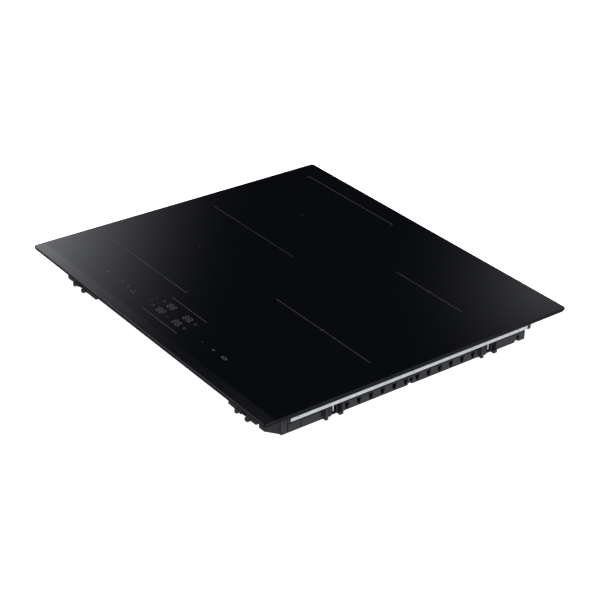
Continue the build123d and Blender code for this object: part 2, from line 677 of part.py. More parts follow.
def terminal_cover():
    """Flap in the floor that swings down on two pins."""
    plate_z = (COVER_LOW, COVER_LOW + COVER_THICK)
    far_y = COVER_Y[1] - COVER_GAP
    plate = block((COVER_X[0] + COVER_GAP, COVER_X[1] - COVER_GAP), (HINGE_Y + 2.8, far_y), plate_z)
    barrel_x = (COVER_X[0] + BARREL_INSET, COVER_X[1] - BARREL_INSET)
    plate += block(barrel_x, (HINGE_Y, HINGE_Y + 4), plate_z)
    length = barrel_x[1] - barrel_x[0]
    hinge = Location((sum(barrel_x) / 2, HINGE_Y, HINGE_Z), (0, 90, 0))
    plate += hinge * Cylinder(BARREL_RADIUS, length)
    plate += hinge * Cylinder(PIN_RADIUS, length + 7.6)
    for index in range(7):
        x = COVER_X[0] + 20 + index * 10
        plate -= block((x, x + 2), (178, 206), (0, COVER_LOW + 0.5))
    return plate - block((181, 199), (COVER_Y[1] - 6, far_y), (0, COVER_LOW + 0.7))


# ---------------------------------------------------------------- coil plates and coils
def coil_plate(side):
    """Pressed aluminium sheet that carries two coils, with beads and a raised front edge."""
    sheet = prism(corner_outline(FRAME_WALL + 0.6), PLATE_LOW, PLATE_LOW + PLATE_THICK)
    sheet &= block((PLATE_INNER_X, CASE_HALF_X), (PLATE_FRONT_Y, CASE_HALF_Y), (0, HEIGHT))
    lip_y = (PLATE_FRONT_Y, PLATE_FRONT_Y + PLATE_THICK)
    sheet += block((PLATE_INNER_X, PLATE_LIP_X), lip_y, (PLATE_LOW, PLATE_LIP_HIGH))
    bead_z = (PLATE_LOW + PLATE_THICK / 2, PLATE_LOW + PLATE_BEAD_RISE)
    for y in PLATE_BEAD_Y:
        sheet += block(PLATE_BEAD_X, (y - PLATE_BEAD_HALF, y + PLATE_BEAD_HALF), bead_z)
    for y in (FRONT_ZONE_Y, REAR_ZONE_Y):
        sheet -= post(ZONE_X, y, PLATE_HOLE, 0, HEIGHT)
        lead = SlotOverall(LEAD_HOLE_LONG, LEAD_HOLE_WIDE, rotation=90)
        sheet -= Pos(LEAD_HOLE_X, y) * extrude(lead, HEIGHT)
    for x, y in COLUMNS + PLATE_EDGE_SCREWS:
        if x > 0:
            sheet -= post(x, y, HOLE_RADIUS, 0, HEIGHT)
    return mirrored_x(sheet, side)


def coil_winding(x, y, first_radius, turns, straight):
    """One flat spiral of litz wire, built of half turns whose centres alternate."""
    pieces = []
    shift = WIRE_PITCH / 4
    for index in range(2 * turns):
        radius = first_radius + index * WIRE_PITCH / 2
        side = 1 if index % 2 == 0 else -1
        centre_x = x + side * straight / 2
        centre_y = y + shift - (0 if side > 0 else WIRE_PITCH / 2)
        start = (centre_x, centre_y - side * radius, WINDING_Z)
        section = Plane(origin=start, x_dir=(0, 1, 0), z_dir=(1, 0, 0)) * Circle(WIRE_RADIUS)
        spindle = Axis((centre_x, centre_y, WINDING_Z), (0, 0, 1))
        pieces.append(revolve(section, axis=spindle, revolution_arc=180))
        if straight > 0 and index < 2 * turns - 1:
            end = (centre_x, centre_y + side * radius, WINDING_Z)
            section = Plane(origin=end, x_dir=(0, 1, 0), z_dir=(-side, 0, 0)) * Circle(WIRE_RADIUS)
            pieces.append(extrude(section, straight))
    return pieces[0].fuse(*pieces[1:])


def spokes(straight, inner, outer, step, offset):
    """Places around an oval or round coil: x, y, angle and radial middle."""
    places = []
    for index in range(round(360 / step)):
        angle = offset + index * step
        lean = math.cos(math.radians(angle))
        shift = 0 if abs(lean) < 0.1 else math.copysign(straight / 2, lean)
        middle = (inner + outer) / 2
        places.append((shift + middle * lean, middle * math.sin(math.radians(angle)), angle))
    return places


def coil_rim(first_radius, turns):
    return first_radius + (turns - 0.5) * WIRE_PITCH + WIRE_RADIUS + WIRE_PITCH / 4 + 1.8


def leg_places(coil):
    rim = coil_rim(coil["first"], coil["turns"])
    return spokes(coil["straight"], rim - LEG_INSET, rim - LEG_INSET, 90, 22.5)


def coil_carrier(coil):
    """Moulded tray under the winding: rim, hub with the sensor's hole, and four spring legs."""
    rim = coil_rim(coil["first"], coil["turns"])
    straight = coil["straight"]
    high = CARRIER_LOW + CARRIER_THICK
    tray = extrude(Pos(0, 0, CARRIER_LOW) * stadium(rim, straight), CARRIER_THICK)
    edge = stadium(rim, straight) - stadium(rim - CARRIER_EDGE, straight)
    tray += extrude(Pos(0, 0, high) * edge, CARRIER_WALL)
    tray += post(0, 0, CARRIER_HUB, high, high + CARRIER_WALL)
    for x, y, angle in spokes(straight, coil["first"], rim, 45, 22.5):
        rib = extrude(Rectangle(rim - coil["first"] - 8, CARRIER_THICK), CARRIER_RIB)
        tray += Location((x, y, CARRIER_LOW - CARRIER_RIB), (0, 0, angle)) * rib
    for x, y, _ in leg_places(coil):
        tray += post(x, y, LEG_RADIUS, FERRITE_LOW, CARRIER_LOW)
    tray -= post(0, 0, SENSOR_HOLE, FERRITE_LOW, GLASS_LOW)
    return Pos(coil["x"], coil["y"], 0) * tray


def coil_ferrites(coil):
    """Eight flat ferrite bars glued under the carrier, pointing at its centre."""
    rim = coil_rim(coil["first"], coil["turns"])
    low = CARRIER_LOW - FERRITE_THICK
    bars = []
    for x, y, angle in spokes(coil["straight"], coil["first"], rim, 45, 0):
        bar = extrude(Rectangle(rim - coil["first"] - 10, FERRITE_WIDTH), FERRITE_THICK)
        bar = chamfer(bar.edges().filter_by(Axis.Z), 1)
        bars.append(Location((coil["x"] + x, coil["y"] + y, low), (0, 0, angle)) * bar)
    return Compound(bars)


def coil_insulation(coil):
    """Mica-faced felt between winding and glass, holed for the sensor."""
    outline = stadium(coil_rim(coil["first"], coil["turns"]) - 2, coil["straight"])
    sheet = extrude(Pos(0, 0, INSULATION_LOW) * outline, GLASS_LOW - INSULATION_LOW)
    return Pos(coil["x"], coil["y"], 0) * (sheet - post(0, 0, SENSOR_HOLE, 0, HEIGHT))


def glass_sensors():
    """Silicone-capped temperature sensors, one in the middle of each coil."""
    low = CARRIER_LOW - 1.2
    sensors = []
    for coil in COILS.values():
        cap = post(0, 0, 6, low, GLASS_LOW) + post(0, 0, 10.5, low, CARRIER_LOW)
        sensors.append(Pos(coil["x"], coil["y"], 0) * cap)
    return Compound(sensors)


def coil_springs():
    """Arched leaf springs that press the coils up against the glass."""
    base = PLATE_LOW + PLATE_THICK + SPRING_GAP
    rise = [(-SPRING_REACH, base), (0, FERRITE_LOW - SPRING_GAP), (SPRING_REACH, base)]
    start = -SPRING_WIDTH / 2
    leaves = []
    for coil in COILS.values():
        for x, y, angle in leg_places(coil):
            upper = ThreePointArc(*[(px, start, pz + SPRING_HALF_THICK) for px, pz in rise])
            lower = ThreePointArc(*[(px, start, pz - SPRING_HALF_THICK) for px, pz in rise])
            ends = [Line(upper @ t, lower @ t) for t in (0, 1)]
            leaf = extrude(make_face([upper, lower] + ends), SPRING_WIDTH, dir=(0, 1, 0))
            leaves.append(Location((coil["x"] + x, coil["y"] + y, 0), (0, 0, angle + 90)) * leaf)
    return Compound(leaves)


# ---------------------------------------------------------------- electronics
def circuit_board(x, y, holes):
    board = block(x, y, (BOARD_LOW, BOARD_TOP))
    for hx, hy in holes:
        board -= post(hx, hy, HOLE_RADIUS, 0, HEIGHT)
    return board


def heat_sink():
    """Finned aluminium extrusion over the power transistors, fins along the air flow."""
    base_top = SINK_LOW + SINK_BASE
    sink = block(SINK_X, SINK_Y, (SINK_LOW, base_top))
    step = (SINK_X[1] - SINK_X[0] - SINK_FIN_WIDTH) / (SINK_FINS - 1)
    for index in range(SINK_FINS):
        x = SINK_X[0] + index * step
        sink += block((x, x + SINK_FIN_WIDTH), SINK_Y, (base_top - 0.2, SINK_HIGH))
    return sink


def power_transistors():
    """Four transistors and a bridge rectifier clamped flat under the heat sink."""
    middle = sum(SINK_X) / 2
    foot = (BOARD_TOP + 1, BOARD_TOP + 1.8)
    parts = []
    for index in range(5):
        y = SINK_Y[0] + 18 + index * 36
        half = 7.5 if index < 4 else 12
        package = block((middle - half, middle + half), (y - 9, y + 9), (BOARD_TOP + 0.4, SINK_LOW))
        for lead in (-5, 0, 5):
            lead_x = (middle + lead - 0.6, middle + lead + 0.6)
            package += block(lead_x, (y + 8, y + 13), foot)
            package += block(lead_x, (y + 12, y + 13), (BOARD_TOP, foot[1]))
        parts.append(package)
    return Compound(parts)


def boxed_capacitor(x, y, high):
    """Upright box with rounded corners, standing on a board."""
    body = block(x, y, (BOARD_TOP, BOARD_TOP + high))
    return fillet(body.edges().filter_by(Axis.Z), 1.5)


def film_capacitors():
    """Boxed film capacitors of the resonant and mains circuits."""
    small = [POWER_Y[0] + 24 + index * 22 for index in range(4)]
    large = [POWER_Y[0] + 26 + index * 40 for index in range(2)]
    parts = [boxed_capacitor((128, 160), (y, y + 15), 15) for y in small]
    parts += [boxed_capacitor((176, 208), (y, y + 24), 16.5) for y in large]
    return Compound(parts)


def toroid(x, y, low, ring, thick):
    """Flat ring choke: a wound ring whose copper turns are parted by radial grooves."""
    core = post(x, y, ring + thick, low, low + 2 * thick) - post(x, y, ring - thick, low, low + 2 * thick)
    for index in range(12):
        groove = block((ring - thick + 1.2, ring + thick + 1), (-0.5, 0.5), (2 * thick - 1, 2 * thick))
        groove += block((ring + thick - 1, ring + thick + 1), (-0.5, 0.5), (0, 2 * thick))
        core -= Location((x, y, low), (0, 0, index * 30)) * groove
    return core


def board_choke():
    """Mains choke of one power board."""
    return toroid(195, 8, BOARD_TOP, 15, 6.5)


def air_duct():
    """Channel over the heat sink that keeps the fan's air between the fins."""
    x = (SINK_X[0] - 3, SINK_X[1] + 3)
    y = (SINK_Y[0] - 2, FAN_BOX_Y[0] - 2)
    low = BOARD_TOP + 0.2
    high = PLATE_LOW - 0.6
    duct = block(x, y, (low, high))
    return duct - block((x[0] + 1.4, x[1] - 1.4), (y[0] - 1, y[1] + 1), (low - 1, high - 1.4))


def fan_housing():
    """Square blower housing: intake below, outlet towards the heat sink, bearing on its lid."""
    inside = (FAN_LOW + FAN_WALL, FAN_HIGH - FAN_WALL)
    shell = block(FAN_BOX_X, FAN_BOX_Y, (FAN_LOW, FAN_HIGH))
    shell -= block((FAN_BOX_X[0] + 3, FAN_BOX_X[1] - 3), (FAN_BOX_Y[0] - 1, FAN_Y), inside)
    shell -= post(FAN_X, FAN_Y, ROTOR_RADIUS + 3, *inside)
    shell -= post(FAN_X, FAN_Y, FAN_INTAKE, 0, inside[0])
    shell += post(FAN_X, FAN_Y, 4.5, FAN_HIGH - 5, FAN_HIGH)
    shell -= post(FAN_X, FAN_Y, SHAFT_RADIUS + PIN_CLEARANCE, 0, FAN_HIGH - 0.8)
    for x, y in FAN_HOLES:
        shell -= post(x, y, HOLE_RADIUS, 0, HEIGHT)
    return shell


def fan_rotor():
    """Impeller: motor cup, back disc, forward-leaning blades and a lower ring."""
    low = FAN_LOW + 2.6
    high = FAN_HIGH - 6
    ring_top = low + ROTOR_DISC
    rotor = post(FAN_X, FAN_Y, ROTOR_RADIUS, high - ROTOR_DISC, high)
    cup = post(FAN_X, FAN_Y, ROTOR_CUP, low + 3, high)
    rotor += fillet(cup.edges().sort_by(Axis.Z)[0], 2)
    ring = post(FAN_X, FAN_Y, ROTOR_RADIUS, low, ring_top)
    rotor += ring - post(FAN_X, FAN_Y, ROTOR_RADIUS - 4, low, ring_top)
    blade = Location((ROTOR_RADIUS - 10.2, 0, 0), (0, 0, 28)) * block((0, 10), (-0.6, 0.6), (low, high))
    for index in range(ROTOR_BLADES):
        rotor += Location((FAN_X, FAN_Y, 0), (0, 0, 360 * index / ROTOR_BLADES)) * blade
    rotor &= post(FAN_X, FAN_Y, ROTOR_RADIUS, 0, HEIGHT)
    return rotor + post(FAN_X, FAN_Y, SHAFT_RADIUS, high, FAN_HIGH - FAN_WALL)


def filter_choke():
    """Common-mode choke of the mains filter."""
    return toroid(FILTER_X[0] + 36, FILTER_Y[0] + 42, BOARD_TOP, 19, 8)


def filter_capacitors():
    """Mains filter capacitors, fuse and surge disc."""
    left = FILTER_X[0]
    front = FILTER_Y[0]
    parts = [boxed_capacitor((x, x + 14), (front + 20, front + 52), 16) for x in (left + 70, left + 90)]
    parts.append(Location((left + 80, front + 80, BOARD_TOP + 4), (0, 90, 0)) * Cylinder(3, 26))
    parts.append(Location((left + 30, front + 90, BOARD_TOP + 8), (90, 0, 0)) * Cylinder(8, 4))
    return Compound(parts)


# ---------------------------------------------------------------- user interface
def ui_carrier():
    """Tray that clips to the frame's ledge and holds the touch board under the glass."""
    tray = block(UI_X, UI_Y, (UI_LOW, UI_HIGH))
    tray -= block((UI_X[0] + 2, UI_X[1] - 2), (UI_Y[0] + 1.4, UI_Y[1] - 1.4), (UI_LOW + 2, UI_HIGH + 1))
    for x in UI_CLIPS:
        clip_x = (x - UI_CLIP_HALF, x + UI_CLIP_HALF)
        tray += block(clip_x, (UI_CLIP_Y, UI_Y[0] + 1), (LEDGE_LOW + LEDGE_THICK, UI_LOW + 2.4))
        tray += block(clip_x, (UI_Y[1] - 1, PLATE_FRONT_Y - 0.4), (UI_LOW, UI_LOW + 2))
    return tray


def ui_board():
    """Touch board in the tray."""
    x = (UI_X[0] + 2.4, UI_X[1] - 2.4)
    y = (UI_Y[0] + 1.8, UI_Y[1] - 1.8)
    return block(x, y, (UI_BOARD_LOW, UI_BOARD_TOP))


def display_modules():
    """Four two-digit seven-segment modules."""
    half_x = DISPLAY_SIZE[0] / 2
    half_y = DISPLAY_SIZE[1] / 2
    z = (UI_BOARD_TOP, GLASS_LOW - 0.2)
    modules = [block((x - half_x, x + half_x), (y - half_y, y + half_y), z) for x, y in DISPLAY_CENTRES]
    return Compound(modules)


def touch_pads():
    """Conductive foam posts between the touch board and the glass."""
    return Compound([post(x, TOUCH_Y, TOUCH_RADIUS, UI_BOARD_TOP, GLASS_LOW) for x in TOUCH_X])


def buzzer():
    """Piezo sounder with its sound hole on top."""
    top = UI_BOARD_TOP + BUZZER_HIGH
    can = post(BUZZER_X, BUZZER_Y, BUZZER_RADIUS, UI_BOARD_TOP, top)
    return can - post(BUZZER_X, BUZZER_Y, 1.2, top - 2, top + 1)


# ---------------------------------------------------------------- screws
def pan_screw(x, y, head_z, tip_z, head_high):
    """Pan-head screw with a cross recess; its head is at head_z, its tip at tip_z."""
    up = 1 if tip_z < head_z else -1
    head_end = head_z + up * head_high
    head = post(x, y, HEAD_RADIUS, *sorted((head_z, head_end)))
    recess = Rectangle(3.2, 0.7) + Rectangle(0.7, 3.2)
    head -= extrude(Pos(x, y, min(head_end, head_end - up)) * recess, 1.0)
    return head + post(x, y, SCREW_RADIUS, *sorted((head_z, tip_z)))


def case_screws():
    return Compound([pan_screw(x, y, CASE_FLOOR, FRAME_LOW + 6, CASE_HEAD_HIGH) for x, y in CASE_SCREWS])


def board_screws():
    boards = [pan_screw(x, y, BOARD_TOP, CASE_FLOOR + 0.4, HEAD_HIGH) for x, y in BOARD_SCREWS]
    fans = [pan_screw(x, y, FAN_HIGH, CASE_FLOOR + 0.2, HEAD_HIGH) for x, y in FAN_SCREWS]
    return Compound(boards + fans)


def plate_screws():
    ledge_top = LEDGE_LOW + LEDGE_THICK
    columns = [pan_screw(x, y, PLATE_LOW + PLATE_THICK, PLATE_LOW - 9, HEAD_HIGH) for x, y in COLUMNS]
    edges = [pan_screw(x, y, PLATE_LOW, ledge_top + 1.5, HEAD_HIGH) for x, y in PLATE_EDGE_SCREWS]
    return Compound(columns + edges)


# ---------------------------------------------------------------- all nodes
write("glass_top", glass_top())
write("worktop_seal", worktop_seal())
write("glass_bead", glass_bead())
write("top_frame", top_frame())
write("base_case", base_case())
write("cable_inlet", cable_inlet())
write("terminal_block", terminal_block())
write("terminal_screws", terminal_screws())
write("terminal_cover", terminal_cover())

for side in ("left", "right"):
    write(f"side_rail_{side}", side_rail(side))
    write(f"coil_plate_{side}", coil_plate(side))
    holes = POWER_HOLES if side == "right" else [(-x, y) for x, y in POWER_HOLES]
    span = POWER_X if side == "right" else (-POWER_X[1], -POWER_X[0])
    write(f"power_board_{side}", circuit_board(span, POWER_Y, holes))
    write(f"heat_sink_{side}", mirrored_x(heat_sink(), side))
    write(f"power_transistors_{side}", mirrored_x(power_transistors(), side))
    write(f"film_capacitors_{side}", mirrored_x(film_capacitors(), side))
    write(f"choke_{side}", mirrored_x(board_choke(), side))
    write(f"air_duct_{side}", mirrored_x(air_duct(), side))
    write(f"fan_housing_{side}", mirrored_x(fan_housing(), side))
    write(f"fan_rotor_{side}", mirrored_x(fan_rotor(), side))

for name, coil in COILS.items():
    winding = coil_winding(coil["x"], coil["y"], coil["first"], coil["turns"], coil["straight"])
    write(f"coil_winding_{name}", winding)
    write(f"coil_carrier_{name}", coil_carrier(coil))
    write(f"coil_ferrites_{name}", coil_ferrites(coil))
    write(f"coil_insulation_{name}", coil_insulation(coil))
write("glass_sensors", glass_sensors())
write("coil_springs", coil_springs())

write("filter_board", circuit_board(FILTER_X, FILTER_Y, FILTER_HOLES))
write("filter_choke", filter_choke())
write("filter_capacitors", filter_capacitors())

write("ui_carrier", ui_carrier())
write("ui_board", ui_board())
write("display_modules", display_modules())
write("touch_pads", touch_pads())
write("buzzer", buzzer())

write("case_screws", case_screws())
write("board_screws", board_screws())
write("plate_screws", plate_screws())
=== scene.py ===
import json
import math

import bmesh
import bpy
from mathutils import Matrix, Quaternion, Vector


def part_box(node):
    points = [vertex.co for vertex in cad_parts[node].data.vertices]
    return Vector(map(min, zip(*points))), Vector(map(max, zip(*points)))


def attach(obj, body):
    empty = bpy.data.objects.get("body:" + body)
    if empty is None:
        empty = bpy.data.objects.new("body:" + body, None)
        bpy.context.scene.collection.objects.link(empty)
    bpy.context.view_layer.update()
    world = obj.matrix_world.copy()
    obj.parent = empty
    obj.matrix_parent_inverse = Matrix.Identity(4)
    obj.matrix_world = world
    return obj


# Visual model of a built-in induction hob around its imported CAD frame. Metres, +Z up, -Y is the user's
# side. MM turns the small sizes of printed marks and surface detail from millimetres into metres.

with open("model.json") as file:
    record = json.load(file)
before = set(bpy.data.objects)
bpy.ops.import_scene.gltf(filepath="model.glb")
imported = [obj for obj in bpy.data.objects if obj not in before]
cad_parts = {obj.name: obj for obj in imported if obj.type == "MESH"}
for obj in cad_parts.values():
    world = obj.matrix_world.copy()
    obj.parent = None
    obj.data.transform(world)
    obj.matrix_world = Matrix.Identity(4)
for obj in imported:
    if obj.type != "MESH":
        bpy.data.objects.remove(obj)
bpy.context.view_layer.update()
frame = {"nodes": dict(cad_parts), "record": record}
nodes = frame["nodes"]
MM = 0.001


# ---------------------------------------------------------------- places read from the frame
def middle(node):
    """Centre of a CAD node's box."""
    low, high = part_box(node)
    return (low + high) / 2


glass_low, glass_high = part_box("glass_top")
PLACES = ("front_left", "rear_left", "front_right", "rear_right")
ZONES = {place: middle("coil_winding_" + place) for place in PLACES}
TOP = glass_high.z
GLASS_HALF_X = glass_high.x
GLASS_HALF_Y = glass_high.y


# ---------------------------------------------------------------- mesh helpers
ARC_SIDES = 24
CORNER_STEP = 15            # degrees from one point of a round corner to the next


def piece(name, mesh, material):
    """Links a bmesh as a new object, gives it its material and lets it ride on the hob."""
    bmesh.ops.recalc_face_normals(mesh, faces=mesh.faces)
    data = bpy.data.meshes.new(name)
    mesh.to_mesh(data)
    mesh.free()
    data.materials.append(material)
    made = bpy.data.objects.new(name, data)
    bpy.context.scene.collection.objects.link(made)
    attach(made, "hob")


def slab(mesh, outline, low, high):
    """Adds a closed prism on an outline of (x, y) points."""
    bottom = [mesh.verts.new((x, y, low)) for x, y in outline]
    top = [mesh.verts.new((x, y, high)) for x, y in outline]
    mesh.faces.new(bottom)
    mesh.faces.new(top)
    for index, corner in enumerate(bottom):
        after = (index + 1) % len(bottom)
        mesh.faces.new((corner, bottom[after], top[after], top[index]))


def bar(start, end, width):
    """Outline of a straight stroke between two points."""
    start = Vector(start)
    end = Vector(end)
    along = (end - start).normalized()
    across = Vector((-along.y, along.x)) * width / 2
    return [start - across, end - across, end + across, start + across]


def disc(x, y, radius, sides=24):
    """Outline of a filled dot."""
    return [
        (x + radius * math.cos(math.tau * index / sides), y + radius * math.sin(math.tau * index / sides))
        for index in range(sides)
    ]


def arc(x, y, radius, width, start, end):
    """Outline of a bent stroke from one angle to another, in degrees."""
    outline = []
    forward = range(ARC_SIDES + 1)
    for reach, steps in ((radius + width / 2, forward), (radius - width / 2, reversed(forward))):
        for step in steps:
            angle = math.radians(start + (end - start) * step / ARC_SIDES)
            outline.append((x + reach * math.cos(angle), y + reach * math.sin(angle)))
    return outline


def rounded_plate(x, y, corner):
    """Outline of a rectangle with round corners, between two pairs of limits."""
    centres = (
        (x[1] - corner, y[0] + corner, -90),
        (x[1] - corner, y[1] - corner, 0),
        (x[0] + corner, y[1] - corner, 90),
        (x[0] + corner, y[0] + corner, 180),
    )
    outline = []
    for centre_x, centre_y, start in centres:
        for turn in range(0, 90 + CORNER_STEP, CORNER_STEP):
            angle = math.radians(start + turn)
            outline.append((centre_x + corner * math.cos(angle), centre_y + corner * math.sin(angle)))
    return outline


# ---------------------------------------------------------------- material helpers
BEVEL_SAMPLES = 4
WORN_FROM_TO = (0.98, 0.80)     # likeness of the rounded and the flat normal, unworn and fully worn


class Look:
    """One procedural material. Its textures use object coordinates, which are metres in the frame."""

    def __init__(self, name, colour, roughness, metallic=0.0):
        self.material = bpy.data.materials.new(name)
        self.material.use_nodes = True
        self.tree = self.material.node_tree
        self.shader = self.tree.nodes["Principled BSDF"]
        self.shader.inputs["Base Color"].default_value = (*colour, 1)
        self.shader.inputs["Roughness"].default_value = roughness
        self.shader.inputs["Metallic"].default_value = metallic
        self.place = self.tree.nodes.new("ShaderNodeTexCoord").outputs["Object"]
        self.normal = None

    def put(self, kind, settings=(), **inputs):
        """Adds a node; inputs are values or sockets, by name with _ for a space or as i and a number."""
        node = self.tree.nodes.new("ShaderNode" + kind)
        for key, value in dict(settings).items():
            setattr(node, key, value)
        for key, value in inputs.items():
            by_index = key[0] == "i" and key[1:].isdigit()
            socket = node.inputs[int(key[1:]) if by_index else key.replace("_", " ")]
            if isinstance(value, bpy.types.NodeSocket):
                self.tree.links.new(value, socket)
            else:
                socket.default_value = value
        return node

    def stretched(self, x, y, z):
        """Object coordinates scaled along each axis, for a grain with a direction."""
        return self.put("Mapping", Vector=self.place, Scale=(x, y, z)).outputs["Vector"]

    def noise(self, scale, detail=3.0, rough=0.55, place=None):
        place = place or self.place
        return self.put("TexNoise", Vector=place, Scale=scale, Detail=detail, Roughness=rough).outputs["Fac"]

    def cells(self, scale):
        return self.put("TexVoronoi", Vector=self.place, Scale=scale)

    def waves(self, scale, direction, distortion):
        settings = {"bands_direction": direction}
        made = self.put("TexWave", settings, Vector=self.place, Scale=scale, Distortion=distortion)
        return made.outputs["Fac"]

    def sums(self, operation, a, b=0.5, clamp=False):
        """One step of arithmetic on values or sockets; ABSOLUTE ignores b."""
        return self.put("Math", {"operation": operation, "use_clamp": clamp}, i0=a, i1=b).outputs[0]

    def span(self, value, low, high, to_low=0.0, to_high=1.0):
        """Maps a value from one range to another, clamped."""
        limits = {"From_Min": low, "From_Max": high, "To_Min": to_low, "To_Max": to_high}
        return self.put("MapRange", Value=value, **limits).outputs["Result"]

    def blend(self, factor, first, second):
        """Mixes two colours or sockets."""
        colours = [c if isinstance(c, bpy.types.NodeSocket) else (*c, 1) for c in (first, second)]
        made = self.put("Mix", {"data_type": "RGBA"}, i0=factor)
        for socket, value in zip((made.inputs[6], made.inputs[7]), colours):
            if isinstance(value, bpy.types.NodeSocket):
                self.tree.links.new(value, socket)
            else:
                socket.default_value = value
        return made.outputs[2]

    def axis(self, name):
        """One coordinate of the point, in metres."""
        return self.put("SeparateXYZ", Vector=self.place).outputs[name]

    def facing(self, axis):
        """How far the real surface faces along an axis, from -1 to 1."""
        normal = self.put("TexCoord").outputs["Normal"]
        return self.put("SeparateXYZ", Vector=normal).outputs[axis]

    def colour(self, value):
        self.tree.links.new(value, self.shader.inputs["Base Color"])

    def roughness(self, value):
        self.tree.links.new(value, self.shader.inputs["Roughness"])

    def round_edges(self, radius):
        """Softens the sharp moulded or sheared edges by a radius."""
        made = self.put("Bevel", {"samples": BEVEL_SAMPLES}, Radius=radius)
        self.normal = made.outputs["Normal"]
        self.tree.links.new(self.normal, self.shader.inputs["Normal"])

    def edge_wear(self, radius):
        """One on sharp outer and inner edges, zero on flat faces."""
        rounded = self.put("Bevel", {"samples": BEVEL_SAMPLES}, Radius=radius).outputs["Normal"]
        flat = self.put("NewGeometry").outputs["Normal"]
        alike = self.put("VectorMath", {"operation": "DOT_PRODUCT"}, i0=rounded, i1=flat).outputs["Value"]
        return self.span(alike, *WORN_FROM_TO)

    def bump(self, height, depth, strength=1.0):
        """Relief of a real depth, on top of rounded edges where there are any."""
        made = self.put("Bump", Height=height, Distance=depth, Strength=strength)
        if self.normal is not None:
            self.tree.links.new(self.normal, made.inputs["Normal"])
        self.normal = made.outputs["Normal"]
        self.tree.links.new(self.normal, self.shader.inputs["Normal"])


LOOKS = {}


def look(name):
    """Registers the function that builds one material under its slot name."""
    def keep(function):
        LOOKS[name] = function().material
        return function
    return keep


# ---------------------------------------------------------------- glass and print
# The ground strip is also painted lighter grey: a painted highlight line beside the arris.
GROUND_AND_HIGHLIGHT_MARGIN = 1.5 * MM    # ground strip around the slab's top, beside the arris
GROUND_BLEND = 0.15 * MM
GROUND_ROUGHNESS = 0.42
POLISHED_SPECULAR = 0.5
# Reflection level of the slab's sides, lowered as painted shade to keep them dark.
SIDE_SHADE_SPECULAR = 0.14


@look("black_glass")
def black_glass():
    """Polished black glass-ceramic: faint smears on top, a rough ground strip painted lighter grey as a
    highlight line beside the arris, and sides darkened as painted shade.
    """
    made = Look("black_glass", (0.003, 0.0033, 0.0043), 0.03)
    upward = made.facing("Z")
    flat = made.span(upward, 0.90, 0.99)
    side = made.span(made.sums("ABSOLUTE", upward), 0.95, 0.80)
    over_x = made.sums("SUBTRACT", made.sums("ABSOLUTE", made.axis("X")), GLASS_HALF_X - GROUND_AND_HIGHLIGHT_MARGIN)
    over_y = made.sums("SUBTRACT", made.sums("ABSOLUTE", made.axis("Y")), GLASS_HALF_Y - GROUND_AND_HIGHLIGHT_MARGIN)
    ground_and_highlight_strip = made.span(made.sums("MAXIMUM", over_x, over_y), 0, GROUND_BLEND)
    ground_and_highlight_strip = made.sums("MULTIPLY", ground_and_highlight_strip, made.span(upward, 0.80, 0.95))
    ground = made.noise(9000, 2)
    smear = made.noise(14, 5, 0.6, made.stretched(1, 2.4, 1))
    film = made.span(smear, 0.45, 0.75, 0.018, 0.040)
    wipe = made.sums("ADD", film, made.span(made.noise(900, 2), 0.62, 0.8, 0, 0.012))
    polish = made.sums("SUBTRACT", flat, ground_and_highlight_strip, clamp=True)
    made.roughness(made.put("Mix", i0=polish, i2=GROUND_ROUGHNESS, i3=wipe).outputs[0])
    # Lighter grey of the ground strip: partly its frosted face, partly a painted highlight line along the
    # arris.
    frost_and_painted_highlight = made.blend(ground, (0.0092, 0.0097, 0.0112), (0.0152, 0.0158, 0.018))
    body = made.blend(made.noise(30, 2), (0.0019, 0.0022, 0.0034), (0.0024, 0.0027, 0.0039))
    made.colour(made.blend(ground_and_highlight_strip, body, frost_and_painted_highlight))
    # Sides reflect less than the top: painted shade on the slab's sides.
    level = made.span(side, 0, 1, POLISHED_SPECULAR, SIDE_SHADE_SPECULAR)
    made.tree.links.new(level, made.shader.inputs["Specular IOR Level"])
    made.bump(made.sums("MULTIPLY", ground_and_highlight_strip, ground), 0.05 * MM, 0.6)
    return made


def ceramic_print(name, low, high):
    """Fired grey enamel, slightly grainy, as on every printed mark."""
    made = Look(name, high, 0.5)
    grain = made.noise(6000, 2)
    made.colour(made.blend(made.span(grain, 0.3, 0.7), low, high))
    made.roughness(made.span(grain, 0.2, 0.8, 0.42, 0.62))
    made.bump(grain, 0.01 * MM)
    return made


@look("print_line")
def print_line():
    return ceramic_print("print_line", (0.022, 0.022, 0.0245), (0.031, 0.031, 0.034))


@look("print_faint")
def print_faint():
    return ceramic_print("print_faint", (0.010, 0.010, 0.011), (0.015, 0.015, 0.017))


@look("print_digit")
def print_digit():
    return ceramic_print("print_digit", (0.036, 0.036, 0.040), (0.053, 0.053, 0.058))


@look("print_key")
def print_key():
    return ceramic_print("print_key", (0.041, 0.041, 0.0435), (0.059, 0.059, 0.063))


# ---------------------------------------------------------------- plastics
def moulded(name, dark, light, roughness, grain_depth=0.03):
    """Spark-eroded moulded plastic: fine grain, faint flow marks, rubbed edges."""
    made = Look(name, light, roughness)
    made.round_edges(0.35 * MM)
    flow = made.noise(22, 4, 0.6, made.stretched(1, 1, 3))
    grain = made.noise(2600, 3, 0.6)
    worn = made.edge_wear(0.5 * MM)
    base = made.blend(made.span(flow, 0.3, 0.7), dark, light)
    rubbed = tuple(min(1.0, c * 1.7 + 0.012) for c in light)
    patchy = made.sums("MULTIPLY", worn, made.span(made.noise(160, 3), 0.42, 0.62))
    made.colour(made.blend(patchy, base, rubbed))
    dull = made.span(flow, 0.25, 0.75, roughness + 0.06, roughness - 0.05)
    made.roughness(made.sums("SUBTRACT", dull, made.sums("MULTIPLY", patchy, 0.12)))
    made.bump(grain, grain_depth * MM, 0.8)
    return made


